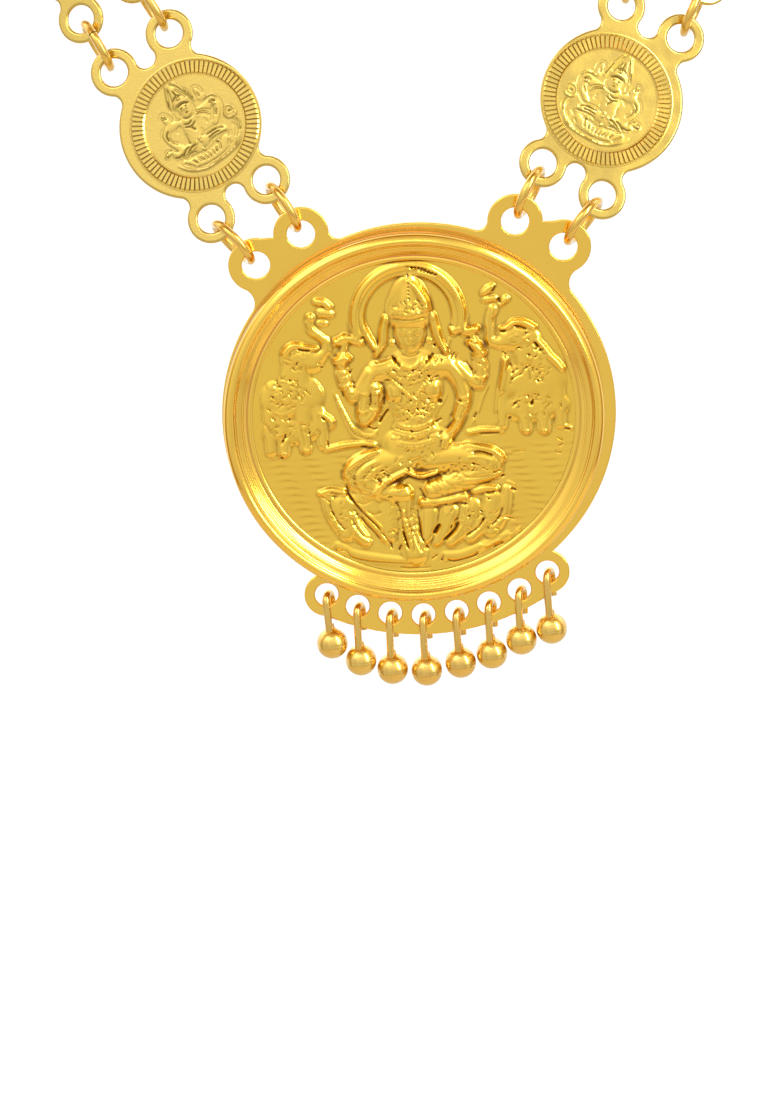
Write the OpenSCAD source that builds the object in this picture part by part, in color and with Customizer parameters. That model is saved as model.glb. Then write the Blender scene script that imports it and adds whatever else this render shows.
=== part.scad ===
// Temple necklace: a round stamped medal with eight ball drops, hung on two double rows of
// stamped coins that meet at the nape in a plain clasp. It is shown as it is worn.
// Millimetres. +Z is up and the medal faces -Y. The origin is on the inner face of the clasp,
// where the loop rests on the nape. The rows lie on a cone round the neck, on which each row's
// middle line is as straight as a ribbon's.

/* [Loop] */
// Coins on each side of the medal
coins_per_side = 9; // [8:1:9]
// Slope of each row at the front, from vertical, in degrees
row_slope = 30.5; // [29:0.5:32]
// Distance from one coin's centre to the next
coin_pitch = 27.3; // [27.25:0.05:27.35]
// Distance along a row from the point where the two rows would cross to the first coin
first_coin = 46.7; // [46.5:0.1:46.9]

/* [Coins] */
// Diameter of a coin
coin_d = 16.3; // [15.8:0.1:16.8]
// Thickness of a coin and of its ears
coin_t = 0.6; // [0.5:0.05:0.7]
// Distance of an ear's hole from the coin's middle, across the row
ear_across = 3.79; // [3.7:0.01:3.9]
// Distance of an ear's hole from the coin's middle, along the row
ear_along = 9.97; // [9.9:0.01:10.05]
// Radius of a coin's ear
ear_r = 2.72; // [2.6:0.02:2.8]
// Radius of the hole in every ear
ear_hole_r = 1.56; // [1.5:0.02:1.6]

/* [Jump rings] */
// Diameter of the rings' wire
wire_d = 1; // [0.9:0.05:1]
// Diameter of a ring, from wire centre to wire centre
ring_d = 5.6; // [5.55:0.05:5.6]
// Turn of a ring out of the plane at right angles to its ears, in degrees
ring_turn = 18; // [0:1:20]

/* [Medal] */
// Diameter of the back plate
plate_d = 43.9; // [43:0.1:45]
// Thickness of the back plate
plate_t = 0.7; // [0.6:0.05:0.8]
// Diameter of the turned rim
rim_d = 42.4; // [42:0.1:42.8]
// Height of the rim's bead above the plate
rim_h = 2.5; // [2.2:0.1:2.8]
// Diameter of the stamped field inside the rim
field_d = 36; // [35.5:0.1:36.4]
// Thickness of the stamped disc's ground
field_t = 0.8; // [0.6:0.05:1]
// Height that the tallest relief stands above its ground
relief_h = 1.1; // [0.6:0.05:1.3]

/* [Drops] */
// Diameter of a ball
ball_d = 3.5; // [3.3:0.05:3.55]
// Diameter of the wire that hangs a ball
drop_wire_d = 0.85; // [0.7:0.05:0.9]
// Radius of the holes in the flange
flange_hole_r = 1.31; // [1.25:0.01:1.4]

/* [Hidden] */
$fn = 48;
gap = 0.05; // between pieces that are pressed or laid together
lap = 0.02; // of one outline over another, so that the two join
side_share = 0.97; // of a round end's radius, where a limb's straight sides start
gold = "#E0B83C";
pale_gold = "#F0D070";
warm_gold = "#E3A23A";

// The cone that the rows lie on. A straight ribbon that leaves the front at row_slope comes
// round level at the back only if the cone's half angle has this sine.
cone_sin = (90 - row_slope) / 180;
cone_cos = sqrt(1 - cone_sin * cone_sin);
clasp_along = 6; // from the clasp's middle to its holes, along the row
ring_reach = 7.36; // along a row, from an ear's hole to the next piece's hole
half_loop = first_coin + coin_pitch * (coins_per_side - 1) + ear_along + ring_reach + clasp_along;
front_slant = half_loop / cos(row_slope); // from the cone's tip to the crossing point
nape_slant = front_slant * sin(row_slope);

// Where the medal hangs, from the crossing point, and the middles of its ears' holes
medal_back = 10.8;
medal_up = 3.9;
medal_ears = [ // [across, up]
    [11.9, 21.4],
    [17.1, 18.15],
];
medal_ear_r = 3.1;
ear_fillet_r = 1.1;
medal_fillet_r = 1.8;
web_feet = [[12, 2], [2, 12]]; // inside the plate, where the web between two ears starts

// The rim is seated a little to one side of the plate, as it shows
rim_shift = [-0.6, -0.1];
rim_bead_r = 0.55;
rim_steps = 4;
rim_step_w = 0.45;
rim_step_drop = 0.16;
rim_groove_h = 1;

// The flange below the medal, and one row for each drop from left to right
flange_hole_ring_r = 23.4;
flange_r = 25.7;
flange_lobe_r = 2.5;
flange_pitch = 9.14;
flange_turn = 2.5;
drop_rows = [ // [hole to ball, lean in degrees]
    [5.6, 3],
    [6.2, 0],
    [6.4, -1],
    [6.4, 0],
    [5.9, 1],
    [5.8, 0],
    [5.7, -1],
    [6.5, 1],
];
bend_r = 0.95; // of the wire's bend through the flange
drop_tail = 3.1; // from the hole down to the wire's cut end, at the back

// A coin's border of reeds stands a little off centre, as it is stamped
border_shift = [-0.55, -0.3];
border_r = [5.75, 7.3];
border_h = 0.1;

// The seated figure on a coin, in limbs that taper from one round end to the other
figure_limbs = [ // [x, y, radius, x, y, radius, height]
    [-0.55, 2.9, 1.15, -0.45, 4.9, 0.3, 0.3],
    [-0.6, 2.1, 0.95, -0.55, 1.6, 0.75, 0.42],
    [-0.2, 0.6, 0.9, 0.4, -2.2, 1.1, 0.34],
    [0.9, 0.9, 0.5, 2.6, 1.1, 0.6, 0.26],
    [2.9, 0.4, 0.5, 1.9, -1.9, 0.45, 0.3],
    [1.9, 2.6, 0.35, 1.5, 1.6, 0.4, 0.22],
    [-2.7, 2.6, 0.45, -2.9, 1.6, 0.4, 0.24],
    [-1.2, 0.6, 0.45, -3.5, 0.7, 0.6, 0.28],
    [-3.7, 0, 0.45, -2.6, -1.3, 0.4, 0.24],
    [-4.75, -1.2, 0.6, -4.7, -1.35, 0.5, 0.22],
    [-4.6, -2, 0.25, -4.2, -3.6, 0.22, 0.18],
    [-0.7, -2.3, 0.7, -2.9, -2.5, 0.55, 0.38],
    [0.6, -2.6, 0.8, 3.2, -1.8, 0.75, 0.36],
    [-2.4, -4, 0.7, 0, -4.4, 0.85, 0.22],
    [0.1, -4.5, 0.8, 2.6, -3.7, 0.7, 0.26],
];

// The medal's relief, in limbs that taper and are domed across. The height is a share of relief_h.
relief_rings = 32; // rings of points in the stamped surface
halo = [0, 11.5, 5.7, 0.65, 0.5]; // [x, y, radius, half width, height]
halo_from = -12; // the arch's ends, in degrees
halo_to = 197;
relief_limbs = [ // [x, y, radius, x, y, radius, height]
    // crown, head and hair
    [0.1, 12, 2.4, 0.1, 16.2, 0.4, 0.9],
    [-0.1, 10.2, 1.7, -0.1, 8.9, 1.3, 1],
    [2.4, 11.2, 0.6, 3, 9.2, 0.6, 0.5],
    [3, 9.2, 0.6, 3.7, 7.4, 0.5, 0.5],
    [-2.4, 11.2, 0.6, -3, 9.2, 0.6, 0.5],
    [-3, 9.2, 0.6, -3.7, 7.6, 0.5, 0.5],
    // neck, shoulders, chest and waist
    [0, 8, 1.2, 0, 6.6, 1.6, 0.7],
    [-3.8, 5.6, 1.4, 3.8, 5.7, 1.4, 0.75],
    [0, 4.5, 3.6, 0, -1.5, 2.6, 0.85],
    [-2, 2.9, 1.6, -2, 2.4, 1.6, 1],
    [2, 2.9, 1.6, 2, 2.4, 1.6, 1],
    [0, -2, 2.5, 0, -4.8, 3.2, 0.8],
    // raised arms, hands and the lotus in each
    [-4.6, 5.4, 0.9, -6.4, 3.2, 0.8, 0.65],
    [-6.4, 3.2, 0.8, -7.6, 6.6, 0.8, 0.6],
    [-7.6, 7, 0.9, -7.2, 8.2, 0.6, 0.65],
    [-7.6, 9.3, 0.7, -5.4, 9.2, 0.6, 0.6],
    [4.6, 5.6, 0.9, 6.2, 3.6, 0.8, 0.65],
    [6.2, 3.6, 0.8, 7.7, 6.3, 0.8, 0.6],
    [7.6, 7.2, 0.9, 7, 8.4, 0.6, 0.65],
    [5, 9.7, 0.6, 7.4, 9.6, 0.7, 0.6],
    // the blessing hand and the giving hand
    [-4.8, 4.6, 0.9, -5.6, 0.2, 0.8, 0.7],
    [-5.6, 0.2, 0.8, -4.3, 1.6, 0.7, 0.75],
    [-4.2, 1.8, 0.8, -4.1, 3.6, 0.9, 0.85],
    [4.9, 4.4, 0.9, 5.6, 1.2, 0.8, 0.7],
    [5.5, 1, 0.8, 4.2, -2, 0.6, 0.75],
    [4, -2.2, 0.7, 3, -3.4, 0.8, 0.85],
    // garlands beside the arms
    [-8.7, 3.6, 0.35, -7.9, 1, 0.35, 0.35],
    [-7.9, 1, 0.35, -6.7, -1.2, 0.35, 0.35],
    [-6.7, -1.2, 0.35, -4.4, -2, 0.4, 0.4],
    [8.5, 3.8, 0.35, 7.3, 1.5, 0.35, 0.35],
    [7.3, 1.5, 0.35, 6, -1.6, 0.35, 0.35],
    // crossed legs, feet and the cloth that falls in front
    [-1.5, -5, 2, -6.2, -6.4, 2, 0.95],
    [-6.2, -7, 1.8, -1.4, -8.4, 1.3, 0.85],
    [1.8, -5, 1.8, 8, -5.6, 1.9, 0.95],
    [8, -6.6, 1.6, 2.2, -8.4, 1.4, 0.85],
    [1.4, -9.7, 0.6, 5.2, -9.6, 0.6, 0.7],
    [-5.6, -8.6, 2, -3.6, -14, 0.9, 0.6],
    [-4.6, -8.4, 0.45, -1.3, -6, 0.45, 1],
    [-0.2, -6.5, 0.4, 1.9, -6.2, 0.4, 0.95],
    [-1.9, -9.2, 1.2, -1, -15.6, 1.3, 0.7],
    // petals of the lotus seat, and its base
    [1.2, -11, 1, 0.9, -14.2, 0.7, 0.55],
    [3.5, -11, 1.1, 3, -14.2, 0.8, 0.55],
    [6, -11, 1.1, 5.2, -14.2, 0.8, 0.55],
    [8.4, -10.4, 1, 7.3, -13.8, 0.8, 0.5],
    [10.5, -9.4, 0.7, 9.4, -13.2, 0.7, 0.45],
    [-8.3, -10.2, 1.1, -6.6, -13.8, 0.8, 0.5],
    [-10.3, -9, 0.9, -8.8, -13.2, 0.8, 0.45],
    [-9.3, -15, 0.6, -3, -16.4, 0.7, 0.35],
    [-3, -16.4, 0.7, 4, -16.8, 0.7, 0.35],
    [4, -16.6, 0.7, 9.4, -15, 0.6, 0.35],
    // the shore on both sides
    [-10, -2.9, 0.4, -5, -2.8, 0.4, 0.35],
    [6, -2.1, 0.4, 9.6, -2.1, 0.4, 0.35],
    // left elephant: pot, trunk, head, body and legs
    [-9.9, 13.5, 0.9, -9.6, 12, 1.1, 0.6],
    [-9.8, 10.6, 0.5, -8.9, 9, 0.5, 0.5],
    [-8.9, 9, 0.5, -9.6, 7.2, 0.8, 0.5],
    [-13, 8, 1.3, -11, 7, 1.8, 0.65],
    [-14.6, 3.6, 2.2, -12.2, 3.6, 2.4, 0.65],
    [-16.1, 2.2, 0.9, -16.1, -2.8, 0.8, 0.5],
    [-14.5, 1, 0.9, -14.6, -3.3, 0.8, 0.55],
    [-12.2, 1, 0.9, -12.2, -3, 0.7, 0.6],
    [-10.4, 1, 0.8, -9.6, -2.2, 0.7, 0.5],
    // right elephant: pot, trunk, head, body and legs
    [9.2, 14.1, 0.9, 10.4, 12.6, 0.9, 0.6],
    [9.1, 11.6, 0.5, 8.8, 9, 0.5, 0.5],
    [8.8, 9, 0.5, 9.8, 7.6, 0.8, 0.5],
    [11.2, 8.2, 1.8, 13.2, 8.4, 1.5, 0.65],
    [14.6, 6, 2, 13.4, 3.4, 2.4, 0.65],
    [12.6, 3.4, 2.2, 11, 3.6, 1.6, 0.6],
    [16.2, 3, 0.9, 16.8, -2.2, 0.8, 0.5],
    [14.4, 1.4, 0.9, 14.5, -2.6, 0.8, 0.55],
    [12, 1.4, 0.9, 12.3, -2.4, 0.7, 0.6],
    [9.8, 1.6, 0.7, 9.8, -1.6, 0.6, 0.5],
];

sides = [["left", -1], ["right", 1]]; // [name, sign of X]

function unit(v) = v / norm(v);
function flat(v, normal) = v - (v * normal) * normal; // the part of v at right angles to normal
function clamp(v, low, high) = max(low, min(high, v));

// The middle of the row on the unrolled cone, at a distance along it from the crossing point
function slant(s) = norm([s * sin(row_slope), front_slant - s * cos(row_slope)]);
function fan(s) = atan2(s * sin(row_slope), front_slant - s * cos(row_slope));

// How far a flat piece is set in from the cone, so that its end holes lie on it
function inset(s, along) = pow(along * sin(row_slope + fan(s)), 2) * cone_cos / (2 * slant(s) * cone_sin);

// A frame is [origin, x axis, y axis, z axis]. A piece on the right row has x across the row,
// outwards, y along it, towards the nape, and z out from the cone.
function row_frame(s, along, tip) =
    let (
        azimuth = fan(s) / cone_sin,
        turn = row_slope + fan(s),
        radial = [sin(azimuth), -cos(azimuth), 0],
        around = [cos(azimuth), sin(azimuth), 0],
        up = [0, 0, 1],
        out = cone_cos * radial + cone_sin * up,
        ahead = sin(turn) * around + cos(turn) * (cone_cos * up - cone_sin * radial)
    )
    [
        tip + slant(s) * (cone_sin * radial - cone_cos * up) - inset(s, along) * out,
        cross(ahead, out), ahead, out
    ];
function point(frame, at) = frame[0] + at[0] * frame[1] + at[1] * frame[2] + at[2] * frame[3];

// The cone's tip is placed so that the middle of the clasp's inner face is the origin
cone_tip = -point(row_frame(half_loop, clasp_along, [0, 0, 0]), [0, 0, -coin_t / 2]);
clasp_frame = row_frame(half_loop, clasp_along, cone_tip);
medal_frame = [
    cone_tip + [0, medal_back - front_slant * cone_sin, medal_up - front_slant * cone_cos],
    [1, 0, 0], [0, 0, 1], [0, -1, 0]
];
function coin_frame(k) = row_frame(first_coin + coin_pitch * (k - 1), ear_along, cone_tip);

// The two holes that a pair of rings starts from and the two that it ends at, where 0 is the
// pair that hangs the medal. The inner strand of the two comes first.
function ring_starts(k) =
    k == 0 ? [for (ear = medal_ears) point(medal_frame, [ear[0], ear[1], 0])]
    : [for (side = [-1, 1]) point(coin_frame(k), [side * ear_across, ear_along, 0])];
function ring_ends(k) =
    k == coins_per_side ? [for (side = [-1, 1]) point(clasp_frame, [side * ear_across, -clasp_along, 0])]
    : [for (side = [-1, 1]) point(coin_frame(k + 1), [side * ear_across, -ear_along, 0])];
function start_normal(k) = k == 0 ? medal_frame[3] : coin_frame(k)[3];
function end_normal(k) = k == coins_per_side ? clasp_frame[3] : coin_frame(k + 1)[3];

// A ring's middle stands between its two ears and towards the side to which they both point.
// Its own z is its axis.
function ring_frame(start, start_out, end, end_out) =
    let (
        along = unit(end - start),
        reach = norm(end - start) / 4,
        lean = unit(flat(along, start_out)) - unit(flat(along, end_out)),
        out = unit(flat(start_out + end_out, along)),
        axis = cos(ring_turn) * cross(along, out) + sin(ring_turn) * out
    )
    [(start + end + reach * lean) / 2, along, cross(axis, along), axis];

// The middle of a circle of radius r that touches two others from outside
function touching(centre_a, radius_a, centre_b, radius_b, r, side) =
    let (
        d = norm(centre_b - centre_a),
        a = radius_a + r,
        b = radius_b + r,
        bend = acos((a * a + d * d - b * b) / (2 * a * d)),
        heading = atan2(centre_b.y - centre_a.y, centre_b.x - centre_a.x) + side * bend
    )
    centre_a + a * [cos(heading), sin(heading)];

// How high the relief stands at a point, as a share of relief_h
function along_limb(p, limb) =
    let (a = [limb[0], limb[1]], b = [limb[3], limb[4]])
    clamp((p - a) * (b - a) / ((b - a) * (b - a)), 0, 1);
function limb_height(p, limb) =
    let (
        t = along_limb(p, limb),
        r = limb[2] + (limb[5] - limb[2]) * t,
        off = norm(p - [limb[0] + (limb[3] - limb[0]) * t, limb[1] + (limb[4] - limb[1]) * t]) / r
    )
    off < 1 ? limb[6] * sqrt(1 - off * off) : 0;
function halo_height(p) =
    let (
        arm = p - [halo[0], halo[1]],
        angle = atan2(arm.y, arm.x),
        off = (norm(arm) - halo[2]) / halo[3],
        inside = angle > halo_from || angle + 360 < halo_to
    )
    inside && abs(off) < 1 ? halo[4] * sqrt(1 - off * off) : 0;
function relief_height(p) = relief_h * max(concat([halo_height(p)], [for (limb = relief_limbs) limb_height(p, limb)]));

// The stamped surface's points lie on rings, each with six more points than the one inside it
function ring_first(k) = k == 0 ? 0 : 3 * k * (k - 1) + 1;
function ring_point(k, j) = ring_first(k) + (k == 0 ? 0 : j % (6 * k));
function ring_faces(k, sextant) = concat(
    [for (j = [0 : k - 1])
        [ring_point(k, sextant * k + j + 1), ring_point(k, sextant * k + j), ring_point(k - 1, sextant * (k - 1) + j)]],
    k < 2 ? [] : [for (j = [0 : k - 2])
        [ring_point(k - 1, sextant * (k - 1) + j), ring_point(k - 1, sextant * (k - 1) + j + 1),
            ring_point(k, sextant * k + j + 1)]]
);

module in_frame(frame) {
    multmatrix([for (row = [0 : 2]) [frame[1][row], frame[2][row], frame[3][row], frame[0][row]]]) children();
}

module on_side(sign) {
    if (sign < 0) mirror([1, 0, 0]) children();
    else children();
}

// A flat fillet between two round outlines, on one side of the line between their middles
module fillet(centre_a, radius_a, centre_b, radius_b, r, side) {
    corner = touching(centre_a, radius_a, centre_b, radius_b, r, side);
    difference() {
        polygon(side > 0 ? [centre_a, centre_b, corner] : [centre_b, centre_a, corner]);
        translate(corner) circle(r + lap);
    }
}

// A flat limb with round ends, whose sides meet the ends just inside their widest points
module limb(row) {
    a = [row[0], row[1]];
    b = [row[3], row[4]];
    heading = unit(b - a);
    across = [-heading.y, heading.x];
    translate([0, 0, coin_t / 2 - gap]) linear_extrude(row[6] + gap) {
        translate(a) circle(row[2]);
        translate(b) circle(row[5]);
        polygon([
            a - side_share * row[2] * across, b - side_share * row[5] * across,
            b + side_share * row[5] * across, a + side_share * row[2] * across
        ]);
    }
}

module eared_disc() {
    circle(d = coin_d);
    for (x = [-1, 1], y = [-1, 1]) {
        ear = [x * ear_across, y * ear_along];
        translate(ear) circle(ear_r);
        for (side = [-1, 1]) fillet([0, 0], coin_d / 2, ear, ear_r, ear_fillet_r, side);
    }
}

module ear_holes(along) {
    for (x = [-1, 1], y = [-1, 1])
        translate([x * ear_across, y * along, 0]) cylinder(r = ear_hole_r, h = 3 * coin_t, center = true);
}

module coin() {
    color(pale_gold) difference() {
        union() {
            translate([0, 0, -coin_t / 2]) linear_extrude(coin_t) eared_disc();
            translate([border_shift.x, border_shift.y, coin_t / 2 - gap]) difference() {
                cylinder(r = border_r[1], h = border_h + gap);
                translate([0, 0, -gap]) cylinder(r = border_r[0], h = border_h + 3 * gap);
            }
            for (row = figure_limbs) limb(row);
        }
        ear_holes(ear_along);
    }
}

module ring() {
    rotate_extrude() translate([ring_d / 2, 0]) circle(d = wire_d);
}

// The two loose rings that join one piece of the row to the next, one on each strand
module ring_pair(k) {
    starts = ring_starts(k);
    ends = ring_ends(k);
    color(gold) for (strand = [0, 1])
        in_frame(ring_frame(starts[strand], start_normal(k), ends[strand], end_normal(k))) ring();
}

module clasp() {
    corner_r = 1.5;
    body = [2 * ear_across + 2 * ear_r, 2 * clasp_along - ear_r];
    body_t = 1.6;
    color(gold) in_frame(clasp_frame) difference() {
        union() {
            translate([0, 0, -coin_t / 2]) linear_extrude(body_t) {
                square([body.x, body.y - 2 * corner_r], center = true);
                square([body.x - 2 * corner_r, body.y], center = true);
                for (x = [-1, 1], y = [-1, 1])
                    translate([x * (body.x / 2 - corner_r), y * (body.y / 2 - corner_r)]) circle(corner_r);
            }
            for (x = [-1, 1], y = [-1, 1])
                translate([x * ear_across, y * clasp_along, 0]) cylinder(r = ear_r, h = coin_t, center = true);
        }
        ear_holes(clasp_along);
    }
}

function flange_at(k) =
    let (angle = -90 + flange_turn + (k - (len(drop_rows) + 1) / 2) * flange_pitch)
    flange_hole_ring_r * [cos(angle), sin(angle)];

module flange() {
    last = len(drop_rows);
    reach = 1.3;
    intersection() {
        circle(flange_r);
        polygon([[0, 0], reach * flange_at(1), 2 * flange_at(3), 2 * flange_at(last - 2), reach * flange_at(last)]);
    }
    for (k = [1, last]) translate(flange_at(k)) circle(flange_lobe_r);
}

module medal_ears_outline() {
    inner = medal_ears[0];
    outer = medal_ears[1];
    web_top = outer.y + side_share * medal_ear_r;
    translate(inner) circle(medal_ear_r);
    translate(outer) circle(medal_ear_r);
    down = [0, -medal_ear_r / 2];
    polygon([web_feet[0], outer + down, [outer.x, web_top], [inner.x, web_top], inner + down, web_feet[1]]);
    fillet([0, 0], plate_d / 2, outer, medal_ear_r, medal_fillet_r, -1);
    fillet([0, 0], plate_d / 2, inner, medal_ear_r, ear_fillet_r, 1);
}

module pendant_plate() {
    color(gold) in_frame(medal_frame) translate([0, 0, -plate_t / 2]) difference() {
        linear_extrude(plate_t) {
            circle(d = plate_d, $fn = 96);
            flange();
            for (sign = [-1, 1]) on_side(sign) medal_ears_outline();
        }
        for (sign = [-1, 1], ear = medal_ears)
            translate([sign * ear.x, ear.y, -plate_t]) cylinder(r = ear_hole_r, h = 3 * plate_t);
        for (k = [1 : len(drop_rows)])
            translate([flange_at(k).x, flange_at(k).y, -plate_t]) cylinder(r = flange_hole_r, h = 3 * plate_t);
    }
}

module pendant_rim() {
    rim_r = rim_d / 2;
    field_r = field_d / 2;
    shoulder_h = rim_h - rim_bead_r;
    tread_r = rim_r - 2 * rim_bead_r;
    steps = [for (k = [0 : rim_steps - 1], end = [0, 1])
        [tread_r - (k + end) * rim_step_w, shoulder_h - k * rim_step_drop]];
    color(gold) in_frame(medal_frame) translate([rim_shift.x, rim_shift.y, plate_t / 2])
        rotate_extrude($fn = 96) {
            polygon(concat(
                [[field_r, gap], [rim_r, gap], [rim_r, shoulder_h], [tread_r, shoulder_h]],
                steps,
                [[field_r, rim_groove_h]]
            ));
            translate([rim_r - rim_bead_r, shoulder_h]) circle(rim_bead_r);
        }
}

module pendant_relief() {
    r = field_d / 2 - 2 * gap;
    spots = concat([[0, 0]], [for (k = [1 : relief_rings], j = [0 : 6 * k - 1])
        r * k / relief_rings * [cos(60 * j / k), sin(60 * j / k)]]);
    edge = ring_first(relief_rings);
    around = 6 * relief_rings;
    top = [for (p = spots) [p.x, p.y, field_t + relief_height(p)]];
    bottom = [for (j = [0 : around - 1]) [spots[edge + j].x, spots[edge + j].y, 0]];
    floor_first = len(top);
    faces = concat(
        [for (k = [1 : relief_rings], sextant = [0 : 5], face = ring_faces(k, sextant)) face],
        [for (j = [0 : around - 1])
            [edge + j, edge + (j + 1) % around, floor_first + (j + 1) % around, floor_first + j]],
        [[for (j = [0 : around - 1]) floor_first + j]]
    );
    color(gold) in_frame(medal_frame) translate([rim_shift.x, rim_shift.y, plate_t / 2 + gap])
        polyhedron(points = concat(top, bottom), faces = faces);
}

// A ball soldered on a wire that comes down in front of the flange. The wire's bend goes back
// through the hole and its cut end hangs behind.
module drop(k) {
    length = drop_rows[k - 1][0];
    lean = drop_rows[k - 1][1];
    bend_drop = flange_hole_r + drop_wire_d / 2 + gap - bend_r;
    color(warm_gold) in_frame(medal_frame) translate([flange_at(k).x, flange_at(k).y, 0]) rotate([0, 0, lean]) {
        translate([0, -bend_drop - gap, 0]) rotate([0, -90, 0]) rotate_extrude(angle = 180)
            translate([bend_r, 0]) circle(d = drop_wire_d);
        translate([0, -bend_drop - gap, bend_r]) rotate([90, 0, 0]) cylinder(d = drop_wire_d, h = length - bend_drop);
        translate([0, -bend_drop - gap, -bend_r]) rotate([90, 0, 0]) cylinder(d = drop_wire_d, h = drop_tail - bend_drop);
        translate([0, -length, bend_r / 2]) sphere(d = ball_d);
    }
}

pendant_plate();
pendant_rim();
pendant_relief();
clasp();
for (k = [1 : len(drop_rows)]) {
    drop(k);
}
for (side = sides, k = [1 : coins_per_side]) {
    on_side(side[1]) in_frame(coin_frame(k)) coin();
}
for (side = sides, k = [0 : coins_per_side]) {
    on_side(side[1]) ring_pair(k);
}
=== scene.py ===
# %% [markdown]
# # A temple necklace in gold-plated brass
# The solids of the necklace come first, as a fixed frame in metres. Each piece below is made in its
# own millimetres, flat on its own axes, and one matrix then seats it in the frame. The solids that
# already have the right shape stay and only get a better finish.

# %% Load the solids
import math

import bmesh
import bpy
import numpy as np
from mathutils import Matrix, Vector
from mathutils.geometry import tessellate_polygon


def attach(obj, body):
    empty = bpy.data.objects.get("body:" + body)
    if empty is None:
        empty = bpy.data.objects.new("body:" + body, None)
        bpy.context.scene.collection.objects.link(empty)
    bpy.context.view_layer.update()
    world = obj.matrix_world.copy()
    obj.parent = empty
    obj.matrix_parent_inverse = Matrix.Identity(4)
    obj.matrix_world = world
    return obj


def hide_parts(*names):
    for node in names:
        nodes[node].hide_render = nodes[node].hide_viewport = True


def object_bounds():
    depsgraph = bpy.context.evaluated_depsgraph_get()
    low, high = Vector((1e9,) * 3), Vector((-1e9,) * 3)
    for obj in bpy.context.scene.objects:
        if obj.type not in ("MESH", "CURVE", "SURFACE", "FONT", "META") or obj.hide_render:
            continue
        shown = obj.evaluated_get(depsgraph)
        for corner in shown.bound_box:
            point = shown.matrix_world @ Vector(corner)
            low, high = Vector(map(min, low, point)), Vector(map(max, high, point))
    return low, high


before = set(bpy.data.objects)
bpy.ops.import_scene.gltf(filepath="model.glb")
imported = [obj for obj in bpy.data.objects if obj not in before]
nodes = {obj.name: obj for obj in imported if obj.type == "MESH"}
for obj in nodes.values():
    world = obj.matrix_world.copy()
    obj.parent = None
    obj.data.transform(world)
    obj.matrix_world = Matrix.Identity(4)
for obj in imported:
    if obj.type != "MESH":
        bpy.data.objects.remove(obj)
solid_box = [list(corner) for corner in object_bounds()]
print(len(nodes), "solids, from", solid_box[0], "to", solid_box[1])


# %% Small helpers
def put(tree, kind, inputs=None, **settings):
    """Adds a node with its settings. An input is a value, a link, or a node whose first output is meant."""
    node = tree.nodes.new(kind)
    for name, value in settings.items():
        setattr(node, name, value)
    for key, value in (inputs or {}).items():
        if isinstance(value, bpy.types.Node):
            value = value.outputs[0]
        if isinstance(value, bpy.types.NodeSocket):
            tree.links.new(value, node.inputs[key])
        else:
            node.inputs[key].default_value = value
    return node


def linear(code):
    """Turns an sRGB hex colour to linear red, green, blue and alpha."""
    parts = [int(code[k:k + 2], 16) / 255 for k in (1, 3, 5)]
    return [p / 12.92 if p <= 0.04045 else ((p + 0.055) / 1.055) ** 2.4 for p in parts] + [1]


def added(name, data):
    """Puts a new object with the given data into the scene."""
    thing = bpy.data.objects.new(name, data)
    bpy.context.scene.collection.objects.link(thing)
    return thing


def mesh_object(name, verts, faces, material, seat=None, sharp=35):
    """Makes a smooth-shaded mesh object whose place is in its mesh."""
    mesh = bpy.data.meshes.new(name)
    mesh.from_pydata([tuple(v) for v in verts], [], [tuple(f) for f in faces])
    mesh.materials.append(material)
    if seat is not None:
        mesh.transform(seat)
    mesh.shade_smooth()
    mesh.set_sharp_from_angle(angle=math.radians(sharp))
    return added(name, mesh)


def between_rows(rows, columns, first=0, closed=False):
    """Faces between rows of points. Each row is a closed loop, and closed joins the last row to the first."""
    faces = []
    for k in range(rows if closed else rows - 1):
        a, b = first + k * columns, first + (k + 1) % rows * columns
        faces += [(a + j, a + (j + 1) % columns, b + (j + 1) % columns, b + j) for j in range(columns)]
    return faces


def seat_from(origin, x, y, z):
    """The matrix from a piece's own millimetres to the frame's metres."""
    columns = [list(np.array(v) / 1000) + [0] for v in (x, y, z)] + [list(np.array(origin) / 1000) + [1]]
    return Matrix(columns).transposed()


# %% [markdown]
# ## Where each piece hangs
# The rows of coins lie on a cone round the neck, as a ribbon would. A row's middle line is straight
# on the unrolled cone, so two numbers place every coin: how far it is along the row, and how far the
# row is from the cone's tip there. These are the same sizes that the solids were made from.

# %% The rows and the medal
ROW_SLOPE = math.radians(30.5)
COIN_PITCH, FIRST_COIN, COINS = 27.3, 46.7, 9
EAR_ACROSS, EAR_ALONG, CLASP_ALONG, RING_REACH = 3.79, 9.97, 6, 7.36
COIN_T, PLATE_T, RING_D, WIRE_D = 0.6, 0.7, 5.6, 1.0
RING_TURN = math.radians(18)
MEDAL_EARS = [(11.9, 21.4), (17.1, 18.15)]
MEDAL_BACK, MEDAL_UP = 10.8, 3.9  # from the point in front where the two rows would meet
HALF_LOOP = FIRST_COIN + COIN_PITCH * (COINS - 1) + EAR_ALONG + RING_REACH + CLASP_ALONG
FRONT_SLANT = HALF_LOOP / math.cos(ROW_SLOPE)
CONE_SIN = (90 - math.degrees(ROW_SLOPE)) / 180
CONE_COS = math.sqrt(1 - CONE_SIN ** 2)


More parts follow.
